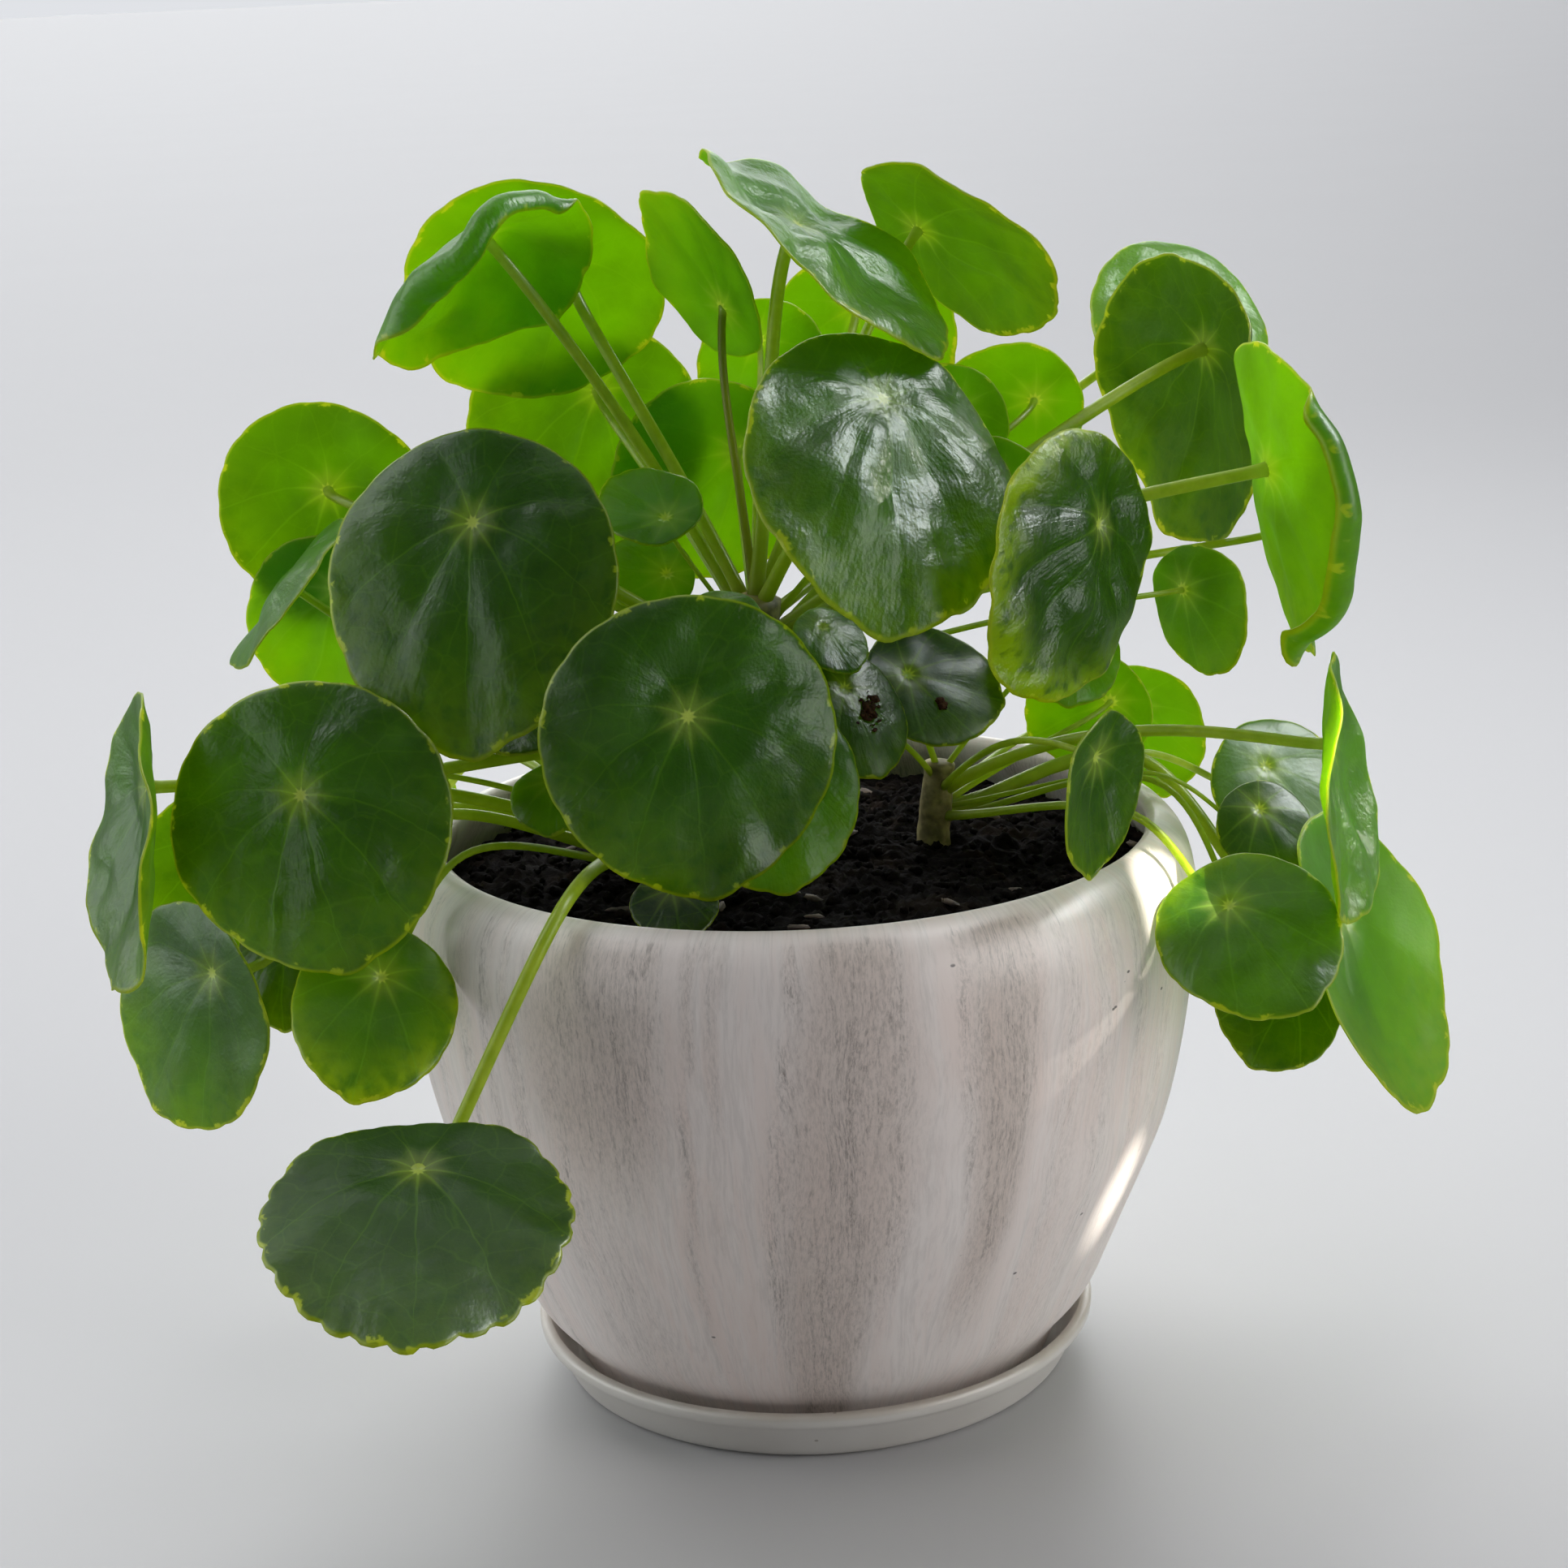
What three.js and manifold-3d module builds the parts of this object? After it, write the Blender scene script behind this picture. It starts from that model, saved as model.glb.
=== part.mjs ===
// A potted pilea: round, shield-shaped leaves on long stalks, three stems in one pot of soil, and a saucer.
// Millimetres, +Z up, +X to the right and +Y away from the front.
// The origin is the centre of the saucer's underside, on the table.
import * as THREE from 'three';
import { mergeVertices } from 'three/addons/utils/BufferGeometryUtils.js';
import Module from 'manifold-3d';

const wasm = await Module();
wasm.setup();

// ---- Driving dimensions -------------------------------------------------------------------------

const GAP = 0.3;               // clearance between pieces that touch
const MERGE = 1e-3;            // points closer than this are one point
const DEGREE = Math.PI / 180;
const TURN = 2 * Math.PI;

const SAUCER = { foot: 62, rim: 69.8, height: 13.8, wall: 2.8, floor: 3.5 };
const POT = { height: 138, mouth: 84.5, belly: 96.6, bellyHeight: 121, foot: 57, floor: 6, drain: 6 };
const SOIL = { edge: 126, crown: 4, crumb: 0.9 };
const LATHE_SIDES = 36;

const STEMS = {
  mother: { foot: [-8, 2], depth: 104, top: [-7, 0, 194], radius: 7 },
  right: { foot: [34, 4], depth: 112, top: [36, 3, 150], radius: 4.5 },
  left: { foot: [-38, -12], depth: 112, top: [-39, -12, 142], radius: 4.5 },
};
const STEM_SIDES = 10;
const COLLAR = 6;              // how far a stem stands straight up out of the soil
const STEM_TAPER = 0.15;

// A stalk is a share of its blade's width thick. It arches through a bend, or over the pot's lip
// where its blade hangs outside, and comes up to the blade from below.
const STALK = { sides: 5, steps: 6, share: 0.03, neck: 5, neckShare: 0.1, bend: 0.45, overLip: 4, hang: 150 };
const BLADE = { thickness: 0.95, long: 1.06, set: 0.3, beak: 0.03, beakSpread: 0.22, egg: 0.06 };
const WAVE = { height: 0.015, count: 5 };
const LARGE = 40;              // blades this wide or wider get the finer mesh
const MESH = { large: { sides: 18, reaches: [0.5, 0.82, 1] }, small: { sides: 12, reaches: [0.6, 1] } };

const COLOURS = { leaf: 0x2f6b1c, stalk: 0x7f9f3a, soil: 0x17110d, pot: 0xcfc8c2, saucer: 0xc9c5bd };

// Each leaf: its name, where its stalk meets the blade, the way its upper face looks (heading from
// the front towards the right, and rise above level), the swing of its tip from straight downhill,
// the width of the blade, how far its rim rises above the hub along and across (a dome is negative),
// the stem that it grows from, the height of the stalk's root, how far the stalk arches up, and
// what is its own: the hub's share of the length from the base, the length over the width, how far
// the stalk sways sideways, and how far it leans in from under the blade's base.
const LEAVES = [
  ['crown_left', [-66, 5, 280], [-135, 50], 10, 58, [-6, -12], 'mother', 183, 0,
    { set: 0.36, sway: [2, 28], lean: 4 }],
  ['crown_left_back', [-50, 35, 272], [180, 32], 42, 64, [-3, -1], 'mother', 186, 6, { long: 1 }],
  ['crown_spear', [-11, 12, 261], [122, 22], 162, 42, [-2, -2], 'mother', 190, 0, { lean: 14 }],
  ['crown_blade', [7, -3, 280.5], [75, 52], -16, 68, [-3, 3], 'mother', 192, 0, { set: 0.37 }],
  ['crown_right', [37, 38, 275], [132, 39], -82, 56, [-4, -5], 'mother', 190, 4, { set: 0.25 }],
  ['front_right', [24, -35, 244], [35, 38], -18, 67, [-7, -5], 'mother', 188, 4, { set: 0.25 }],
  ['right_front', [71, -38, 214], [50, 2], -47, 58.5, [-4, -3], 'mother', 176, 8],
  ['front_left', [-69, -36, 220.5], [-10, 28], 0, 67, [-5, -3], 'mother', 170, 10, { long: 1.09 }],
  ['front_middle', [-22, -68, 181.5], [8, 10], 3, 65.5, [-4, -5], 'mother', 157, 23,
    { set: 0.4, long: 1, sway: [2, -3] }],
  ['left_front', [-109, -58, 165], [-8, 16], 14, 65, [-4, -4], 'mother', 160, 6,
    { set: 0.39, long: 0.99, sway: [3, -2] }],
  ['left_front_small', [-94.2, -60, 122.6], [15, 42], -20, 36.9, [-2, -1], 'left', 132, 2, { long: 1.12 }],
  ['low_front', [-82, -112, 97.5], [12, 72], -8, 65, [-3, -1], 'left', 136, -2,
    { set: 0.25, long: 1, lean: 10, sway: [10, -12] }],
  ['far_left', [-148.5, -34, 162], [-66, 8], 39, 64.5, [6, 8], 'left', 136, 16],
  ['left_low', [-142.5, -12, 109], [-40, 8], -35, 55.5, [-2, -2], 'left', 134, 2, { set: 0.22 }],
  ['left_behind', [-140, 15, 135], [-170, 10], 22, 42, [-2, -2], 'left', 136, 2],
  ['left_under', [-126.5, 5, 114], [-34, 25], 8, 33, [-2, -2], 'left', 136, 2],
  ['left_back', [-113, 45, 216], [180, 5], 22, 53, [-3, -3], 'mother', 172, 10, { set: 0.42, long: 1 }],
  ['left_edge', [-120, 10, 200], [-86, 41], 90, 44, [-2, -2], 'left', 140, 4],
  ['left_low_back', [-112, 38, 192], [165, 5], 20, 43, [-2, -2], 'mother', 158, 10],
  ['back_left', [-45, 60, 236], [178, 7], 22, 60, [-2, -2], 'mother', 182, 6],
  ['back_middle', [-10, 52, 220], [174, 3], 47, 50, [-2, -2], 'mother', 180, 6],
  ['back_gap_middle', [-4, 68, 246], [189, 10], -8, 34, [-2, -2], 'mother', 182, 13, { sway: [-1, -5] }],
  ['back_gap_right', [22, 88, 251], [182, 12], -9, 50, [-2, -2], 'mother', 184, 6],
  ['inner_left', [-27, -5, 214], [-3, 56], -131, 24, [1, 1], 'mother', 178, 2],
  ['inner_left_low', [-28, 8, 198], [19, 41], -105, 22, [-1, -1], 'mother', 166, 2],
  ['inner_young_left', [-15, -18, 195], [5, 62], 10, 18, [-1, -1], 'mother', 172, 2],
  ['inner_young_right', [8.5, -18, 189], [25, 52], 15, 18, [-1, -1], 'mother', 172, 2],
  ['inner_front_right', [13, -26, 176], [29, 39], 5, 29, [-3, -3], 'right', 144, 6],
  ['inner_dark', [28.5, -6, 174], [19, 41], 68, 32.5, [-2, -3], 'right', 146, 2],
  ['front_middle_back', [-8, -46, 168], [9, 32], 7, 44, [-3, -3], 'mother', 146, 6],
  ['right_front_small', [66, -70, 169], [53, -10], -14, 34, [4, 4], 'right', 142, 14],
  ['right_sunlit', [114.5, -6, 219.5], [102, 9], 0, 70, [2, 9], 'mother', 180, 14, { set: 0.4 }],
  ['right_sunlit_back', [128, 56, 192.5], [90, 13], -30, 44, [-1, -2], 'mother', 176, 10, { sway: [0, 4] }],
  ['right_back', [110, 62, 239.5], [115, 10], 25, 71.5, [-4, -8], 'mother', 181, 6,
    { long: 1.09, sway: [5, -1] }],
  ['right_back_high', [115, 118, 247.5], [30, 40], -40, 52.5, [-6, -4], 'mother', 186, -2,
    { sway: [1, 20] }],
  ['back_right_dark', [65, 52, 230], [174, 19], 71, 38, [-3, -3], 'mother', 178, 8, { sway: [-1, 8] }],
  ['back_right_yellow', [43, 20, 233], [182, 15], 41, 34, [-2, -2], 'mother', 182, 4],
  ['inner_right', [53, 6, 216], [164, 10], 33, 36, [-2, -2], 'mother', 178, 4],
  ['right_round', [101, 40, 182], [128, 1], -43, 32, [-1, 2], 'mother', 168, 10],
  ['right_far_high', [91, 66, 146], [156, 9], -17, 35, [-1, -1], 'right', 141, 2, { sway: [-5, 6] }],
  ['right_far_low', [80, 24, 158], [161, 11], 64, 31, [-1, -1], 'right', 138, 2],
  ['right_cluster_high', [120, 32, 137], [21, 38], 27, 39, [-2, -2], 'right', 138, 2],
  ['right_cluster_round', [113, 0, 135], [7, 40], 13, 24, [-2, -2], 'right', 138, 2],
  ['right_blade', [123, -38, 161], [70, 5], -48, 59.5, [3.5, 6.5], 'right', 142, 20, { long: 1.05 }],
  ['far_right_low', [131, -12, 111.5], [58, 20], -13, 67.5, [7, 7], 'right', 136, 2,
    { long: 1.09, set: 0.34, sway: [-4, 19] }],
  ['right_low', [97, -55, 129], [-15, 52], 38, 41, [-3, -1], 'right', 136, 2],
  ['right_low_behind', [118, -15, 96], [20, 39], -42, 32, [-2, -2], 'right', 135, 2],
  ['inner_right_low', [68, 4, 182], [25, 40], -20, 28, [-2, -2], 'right', 146, 4],
  ['inner_left_dark', [-65, -18, 174], [10, 73], 19, 30, [-1, -1], 'mother', 150, 4],
  ['soil_left', [-55, -30, 158], [-6, 58], 0, 20, [-1, -1], 'left', 138, 2],
  ['left_front_behind', [-98, -30, 168], [-8, 57], 10, 30, [-3, -3], 'left', 137, 10],
  ['soil_front', [-28, -58, 139], [8, 66], 0, 20, [-1, -1], 'left', 134, 4],
  ['back_low', [-34, 132, 84], [188, 62], 5, 60, [-3, -2], 'left', 138, 3],
  ['back_low_left', [-114, 92, 124], [-145, 30], -8, 46, [-3, -2], 'left', 140, 4],
].map(([name, hub, faces, tip, width, curl, stem, root, lift, own = {}]) => {
  const usual = { set: BLADE.set, long: BLADE.long, sway: [0, 0], lean: 0 };
  return { name, hub, faces, tip, width, curl, stem, root, lift, ...usual, ...own };
});

// ---- Helpers ------------------------------------------------------------------------------------

const vec = ([x, y, z]) => new THREE.Vector3(x, y, z);

function material(color, roughness) {
  return new THREE.MeshStandardMaterial({ color, roughness, metalness: 0 });
}

function piece(name, geometry, finish) {
  const mesh = new THREE.Mesh(geometry, finish);
  mesh.name = name;
  return mesh;
}

function closedGeometry(points, triangles) {
  const geometry = new THREE.BufferGeometry();
  const numbers = points.flatMap(point => point.toArray());
  geometry.setAttribute('position', new THREE.Float32BufferAttribute(numbers, 3));
  geometry.setIndex(triangles.flat());
  return geometry;
}

function solid(geometry) {
  const bare = geometry.clone();
  bare.deleteAttribute('normal');
  bare.deleteAttribute('uv');
  const merged = mergeVertices(bare, MERGE);
  const vertProperties = new Float32Array(merged.attributes.position.array);
  const triVerts = new Uint32Array(merged.index.array);
  return new wasm.Manifold(new wasm.Mesh({ numProp: 3, vertProperties, triVerts }));
}

function geometryOf(manifold) {
  const mesh = manifold.getMesh();
  const geometry = new THREE.BufferGeometry();
  geometry.setAttribute('position', new THREE.BufferAttribute(mesh.vertProperties, 3));
  geometry.setIndex(new THREE.BufferAttribute(mesh.triVerts, 1));
  return geometry;
}

// A closed tube of round sections along a curve; radiusAt gives the radius from root (0) to end (1).
function tube(curve, steps, sides, radiusAt) {
  const frames = curve.computeFrenetFrames(steps, false);
  const points = [];
  for (let step = 0; step <= steps; step += 1) {
    const along = step / steps;
    const centre = curve.getPointAt(along);
    for (let side = 0; side < sides; side += 1) {
      const angle = TURN * side / sides;
      const out = frames.normals[step].clone().multiplyScalar(Math.cos(angle));
      out.addScaledVector(frames.binormals[step], Math.sin(angle));
      points.push(centre.clone().addScaledVector(out, radiusAt(along)));
    }
  }
  const triangles = [];
  for (let step = 0; step < steps; step += 1) {
    for (let side = 0; side < sides; side += 1) {
      const next = (side + 1) % sides;
      const [a, b] = [step * sides + side, step * sides + next];
      const [c, d] = [a + sides, b + sides];
      triangles.push([a, b, d], [a, d, c]);
    }
  }
  const last = steps * sides;
  for (let side = 1; side < sides - 1; side += 1) {
    triangles.push([0, side + 1, side], [last, last + side, last + side + 1]);
  }
  return closedGeometry(points, triangles);
}

// ---- Blades -------------------------------------------------------------------------------------

// The blade's own directions: out of its upper face, towards its tip, and across it.
function bladeAxes({ faces, tip }) {
  const [heading, rise, swing] = [...faces, tip].map(angle => angle * DEGREE);
  const [right, back] = [Math.sin(heading), -Math.cos(heading)];
  const out = vec([right * Math.cos(rise), back * Math.cos(rise), Math.sin(rise)]);
  const down = vec([right * Math.sin(rise), back * Math.sin(rise), -Math.cos(rise)]);
  const side = out.clone().cross(down);
  const along = down.multiplyScalar(Math.cos(swing)).addScaledVector(side, Math.sin(swing));
  return { out, along, across: out.clone().cross(along) };
}

// The rim, seen from above with the stalk at the origin: a broad egg with a short beak at the tip.
function rimPoint({ width, long, set }, angle) {
  const beak = BLADE.beak * Math.exp(-((angle / BLADE.beakSpread) ** 2));
  const along = width * long * (0.5 - set + 0.5 * Math.cos(angle) + beak);
  const across = 0.5 * width * Math.sin(angle) * (1 - BLADE.egg * Math.cos(angle));
  return [along, across];
}

// Height of the blade's middle surface over its hub: a dome or cup along and across, and a waved rim.
// The curl is reached at 0.6 of the length and at half of the width.
function bladeHeight({ width, long, curl }, along, across, reach, angle, phase) {
  const cup = curl[0] * (along / (0.6 * width * long)) ** 2 + curl[1] * (across / (0.5 * width)) ** 2;
  return cup + WAVE.height * width * reach ** 2 * Math.sin(WAVE.count * angle + phase);
}

// Two faces of alike triangles, joined round the rim.
function bladeGeometry(leaf, phase) {
  const { out, along, across } = bladeAxes(leaf);
  const { sides, reaches } = leaf.width >= LARGE ? MESH.large : MESH.small;
  const hub = vec(leaf.hub);
  const points = [];
  for (const face of [0.5, -0.5]) {
    const lift = face * BLADE.thickness;
    points.push(hub.clone().addScaledVector(out, lift));
    for (const reach of reaches) {
      for (let side = 0; side < sides; side += 1) {
        const angle = TURN * (side / sides - 0.5);
        const [u, v] = rimPoint(leaf, angle).map(distance => reach * distance);
        const height = bladeHeight(leaf, u, v, reach, angle, phase);
        const point = hub.clone().addScaledVector(along, u).addScaledVector(across, v);
        points.push(point.addScaledVector(out, height + lift));
      }
    }
  }
  const under = 1 + reaches.length * sides;
  const triangles = [];
  const bothFaces = (a, b, c) => triangles.push([a, b, c], [under + a, under + c, under + b]);
  for (let side = 0; side < sides; side += 1) {
    const next = (side + 1) % sides;
    bothFaces(0, 1 + side, 1 + next);
    for (let ring = 0; ring < reaches.length - 1; ring += 1) {
      const inner = 1 + ring * sides;
      const outer = inner + sides;
      bothFaces(inner + side, outer + side, outer + next);
      bothFaces(inner + side, outer + next, inner + next);
    }
    const rim = 1 + (reaches.length - 1) * sides;
    triangles.push([rim + side, under + rim + side, under + rim + next]);
    triangles.push([rim + side, under + rim + next, rim + next]);
  }
  return closedGeometry(points, triangles);
}

// ---- Stems with their stalks --------------------------------------------------------------------

function stemCurve(stem) {
  const foot = vec([...stem.foot, stem.depth]);
  const collar = vec([...stem.foot, SOIL.edge + COLLAR]);
  return new THREE.CatmullRomCurve3([foot, collar, vec(stem.top)]);
}

function stemAxisAt(stem, height) {
  const rise = THREE.MathUtils.clamp((height - SOIL.edge) / (stem.top[2] - SOIL.edge), 0, 1);
  return vec([...stem.foot, height]).lerp(vec([stem.top[0], stem.top[1], height]), rise);
}

const stalkRadius = leaf => STALK.share * leaf.width;

// Where a stalk lies on the pot's lip on its way from its root to a blade that hangs outside.
function lipCrossing(root, hub, radius) {
  const reach = POT.mouth + STALK.overLip;
  const [dx, dy] = [hub.x - root.x, hub.y - root.y];
  const square = dx * dx + dy * dy;
  const half = (root.x * dx + root.y * dy) / square;
  const share = -half + Math.sqrt(half * half + (reach * reach - root.x ** 2 - root.y ** 2) / square);
  return new THREE.Vector3(root.x + share * dx, root.y + share * dy, POT.height + STALK.overLip + radius);
}

function stalkCurve(leaf) {
  const { out, along } = bladeAxes(leaf);
  const root = stemAxisAt(STEMS[leaf.stem], leaf.root);
  const hub = vec(leaf.hub);
  const reach = STALK.neck + STALK.neckShare * hub.distanceTo(root);
  const slant = leaf.lean / Math.hypot(leaf.lean, reach);
  const end = hub.clone().addScaledVector(out, -BLADE.thickness / 2 - GAP - slant * stalkRadius(leaf));
  const neck = hub.clone().addScaledVector(out, -reach).addScaledVector(along, -leaf.lean);
  const arch = vec([...leaf.sway, leaf.lift]);
  const hangs = neck.z < STALK.hang && Math.hypot(hub.x, hub.y) > POT.belly;
  if (hangs) {
    const lip = lipCrossing(root, hub, stalkRadius(leaf)).add(arch);
    return new THREE.CatmullRomCurve3([root, lip, neck, end]);
  }
  const bend = root.clone().lerp(hub, STALK.bend).add(arch);
  return new THREE.CubicBezierCurve3(root, bend, neck, end);
}

function stemGeometry(name) {
  const stem = STEMS[name];
  const taper = along => stem.radius * (1 - STEM_TAPER * along);
  let body = solid(tube(stemCurve(stem), 4, STEM_SIDES, taper));
  for (const leaf of LEAVES.filter(row => row.stem === name)) {
    body = body.add(solid(tube(stalkCurve(leaf), STALK.steps, STALK.sides, () => stalkRadius(leaf))));
  }
  return geometryOf(body);
}

// ---- Pot, soil and saucer -----------------------------------------------------------------------

const POT_BASE = SAUCER.floor + GAP;

// The outside of the pot, from its foot up round the belly to the lip, and its inside back down.
const POT_OUTSIDE = [
  [POT.foot, POT_BASE], [63, 12.5], [70.6, 22], [75.6, 33], [80.2, 44], [84.8, 55], [89, 66],
  [92.4, 80], [95.2, 98], [POT.belly, POT.bellyHeight - 6], [POT.belly - 0.4, POT.bellyHeight + 4],
  [94.2, POT.height - 6], [91, POT.height - 2], [87, POT.height],
];
const POT_INSIDE = [
  [POT.mouth, POT.height - 2.5], [POT.mouth + 0.8, POT.height - 6], [91, 122], [90.6, 108], [87.2, 80],
  [79.6, 55], [70.4, 33], [62, 18], [54, POT_BASE + POT.floor],
];
const SOIL_WALL = 3;           // the soil fills the pot from this point of its inside down

// A profile of [radius, height] points turned round the upright axis; it closes on itself unless
// both of its ends are on the axis.
function lathe(profile) {
  const onAxis = profile[0][0] === 0;
  const outline = onAxis ? profile : [...profile, profile[0]];
  const geometry = new THREE.LatheGeometry(outline.map(([r, z]) => new THREE.Vector2(r, z)), LATHE_SIDES);
  return geometry.rotateX(Math.PI / 2);
}

function potGeometry() {
  const drain = [[POT.drain, POT_BASE + POT.floor], [POT.drain, POT_BASE]];
  return lathe([...POT_OUTSIDE, ...POT_INSIDE, ...drain]);
}

function saucerGeometry() {
  const { foot, rim, height, wall, floor } = SAUCER;
  return lathe([
    [0, 0], [foot, 0], [foot + 1.6, 1], [rim - 1, height - 3.4], [rim, height - 2.8], [rim, height - 0.6],
    [rim - 0.8, height], [rim - wall + 0.4, height], [rim - wall, height - 1], [foot + 1, floor + 1.6],
    [foot - 1, floor], [0, floor],
  ]);
}

// Soil surface: a low mound with lumps made by crossed waves.
function soilHeight(radius, angle) {
  const share = radius / POT.mouth;
  const lumps = Math.sin(5 * angle + 9 * share) * Math.sin(3 * angle - 14 * share);
  return SOIL.edge + SOIL.crown * (1 - share ** 2) + SOIL.crumb * lumps;
}

function soilGeometry() {
  const sides = POT_INSIDE.slice(SOIL_WALL).map(([r, z]) => [r - 2 * GAP, z + GAP]).reverse();
  const rimOfSoil = [POT.mouth + 3, SOIL.edge - 1];
  const mound = [80, 62, 42, 20].map(radius => [radius, SOIL.edge]);
  const rings = [...sides, rimOfSoil, ...mound];
  const points = [vec([0, 0, sides[0][1]])];
  rings.forEach(([radius, height], ring) => {
    for (let side = 0; side < LATHE_SIDES; side += 1) {
      const angle = TURN * side / LATHE_SIDES;
      const z = ring <= sides.length ? height : soilHeight(radius, angle);
      points.push(vec([radius * Math.cos(angle), radius * Math.sin(angle), z]));
    }
  });
  const summit = points.length;
  points.push(vec([0, 0, soilHeight(0, 0)]));
  const triangles = [];
  for (let side = 0; side < LATHE_SIDES; side += 1) {
    const next = (side + 1) % LATHE_SIDES;
    triangles.push([0, 1 + next, 1 + side]);
    for (let ring = 0; ring < rings.length - 1; ring += 1) {
      const low = 1 + ring * LATHE_SIDES;
      const high = low + LATHE_SIDES;
      triangles.push([low + side, low + next, high + next], [low + side, high + next, high + side]);
    }
    const inner = 1 + (rings.length - 1) * LATHE_SIDES;
    triangles.push([inner + side, inner + next, summit]);
  }
  let body = solid(closedGeometry(points, triangles));
  for (const stem of Object.values(STEMS)) {
    const bottom = vec([...stem.foot, stem.depth - GAP]);
    const mouth = vec([...stem.foot, SOIL.edge + 2 * SOIL.crown]);
    const wide = (stem.radius + GAP) / Math.cos(Math.PI / STEM_SIDES);
    body = body.subtract(solid(tube(new THREE.LineCurve3(bottom, mouth), 1, STEM_SIDES, () => wide)));
  }
  return geometryOf(body);
}

// ---- The plant in its pot -----------------------------------------------------------------------

const PHASE = 2.4;             // shifts the waves of each rim from those of the one before

const plant = new THREE.Group();
plant.add(piece('saucer', saucerGeometry(), material(COLOURS.saucer, 0.45)));
plant.add(piece('pot', potGeometry(), material(COLOURS.pot, 0.4)));
plant.add(piece('soil', soilGeometry(), material(COLOURS.soil, 0.95)));
for (const name of Object.keys(STEMS)) {
  plant.add(piece(`stem_${name}`, stemGeometry(name), material(COLOURS.stalk, 0.5)));
}
LEAVES.forEach((leaf, index) => {
  plant.add(piece(`leaf_${leaf.name}`, bladeGeometry(leaf, PHASE * index), material(COLOURS.leaf, 0.4)));
});

export default plant;
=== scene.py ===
# %% [markdown]
# # A potted pilea on its saucer
#
# The plant has round, shield-shaped leaves. A stalk meets each leaf inside its rim, at a pale spot
# called the hub here. Three stems stand in dark soil, in a marbled ceramic pot that stands on a saucer.
#
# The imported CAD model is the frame. Every piece below is made in that frame, in metres, and takes the
# place of one CAD solid with a finer surface of the same form.

import math

import bpy
import numpy as np
from mathutils import Matrix


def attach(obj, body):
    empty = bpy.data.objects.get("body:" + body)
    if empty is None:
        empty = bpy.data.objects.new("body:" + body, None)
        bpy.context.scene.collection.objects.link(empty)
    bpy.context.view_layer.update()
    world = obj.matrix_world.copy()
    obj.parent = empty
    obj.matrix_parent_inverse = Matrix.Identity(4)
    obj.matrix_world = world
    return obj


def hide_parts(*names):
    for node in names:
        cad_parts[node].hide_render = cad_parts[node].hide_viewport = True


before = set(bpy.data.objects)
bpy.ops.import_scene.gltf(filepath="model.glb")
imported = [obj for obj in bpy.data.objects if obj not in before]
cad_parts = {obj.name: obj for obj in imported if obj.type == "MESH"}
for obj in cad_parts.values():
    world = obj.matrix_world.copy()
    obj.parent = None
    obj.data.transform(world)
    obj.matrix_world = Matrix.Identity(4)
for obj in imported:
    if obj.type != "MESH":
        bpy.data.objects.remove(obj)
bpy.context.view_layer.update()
print("CAD nodes:", len(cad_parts))

# %% [markdown]
# ## Camera
#
# The photograph looks down a little, from in front. Its place, tilt and focal length were worked out
# from the ellipse of the pot's lip and the saucer. The image is 1932 pixels wide, so a focal length in
# pixels becomes millimetres on the sensor by one division.

# %% Camera
PHOTO_PX, FOCAL_PX, SENSOR_MM = 1932, 3590, 36
CAMERA_PLACE = (0, -0.680, 0.334)
PITCH, ROLL, PAN = (math.radians(angle) for angle in (15.4, -2.58, -0.18))


def stand(name, data, place, *axes):
    """A camera or lamp in the scene at a place, with its own three axes: right, up and back."""
    made = bpy.data.objects.new(name, data)
    made.matrix_world = Matrix.Translation(place) @ Matrix(np.column_stack(axes).tolist()).to_4x4()
    bpy.context.scene.collection.objects.link(made)
    return made


ahead = np.array([math.sin(PAN) * math.cos(PITCH), math.cos(PAN) * math.cos(PITCH), -math.sin(PITCH)])
level = np.array([math.cos(PAN), -math.sin(PAN), 0])
upright = np.cross(level, ahead)
right = math.cos(ROLL) * level + math.sin(ROLL) * upright
above = -math.sin(ROLL) * level + math.cos(ROLL) * upright
lens = bpy.data.cameras.new("camera")
lens.sensor_width = SENSOR_MM
lens.lens = SENSOR_MM * FOCAL_PX / PHOTO_PX
lens.clip_start = 0.02
bpy.context.scene.camera = stand("camera", lens, CAMERA_PLACE, right, above, -ahead)
print("focal length:", round(lens.lens, 1), "mm")

# %% [markdown]
# ## Building surfaces
#
# Every surface is a grid of points worked out by a formula of two parameters, then joined into quads.
# numpy works the whole grid out at once. A grid can close on itself in either direction, so a pot's
# wall is a ring of rings, and a tube is a ring carried along a line.

# %% Grids
MM = 0.001
TURN = 2 * np.pi


def grid_quads(rows, columns, close_rows=False):
    """Corner numbers of the quads of a grid numbered row by row, each row a closed ring.

    The faces point outwards where the rings run anticlockwise, seen from the last row.
    """
    row = np.arange(rows if close_rows else rows - 1)[:, None]
    column = np.arange(columns)[None, :]
    next_row, next_column = (row + 1) % rows, (column + 1) % columns
    corners = [row * columns + column, row * columns + next_column,
               next_row * columns + next_column, next_row * columns + column]
    return np.stack([np.broadcast_to(c, (row.size, column.size)).ravel() for c in corners], 1)


def fan(centre, ring):
    """Triangles from one point to a closed ring of points."""
    return np.stack([np.full(ring.size, centre), ring, np.roll(ring, -1)], 1)


def capped(rows, columns):
    """The quads of a grid of rings, and a fan over each end. The two end points follow the grid's."""
    ring, last = np.arange(columns), rows * columns
    ends = np.vstack([fan(last, ring)[:, ::-1], fan(last + 1, last - columns + ring)])
    return grid_quads(rows, columns), ends


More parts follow.
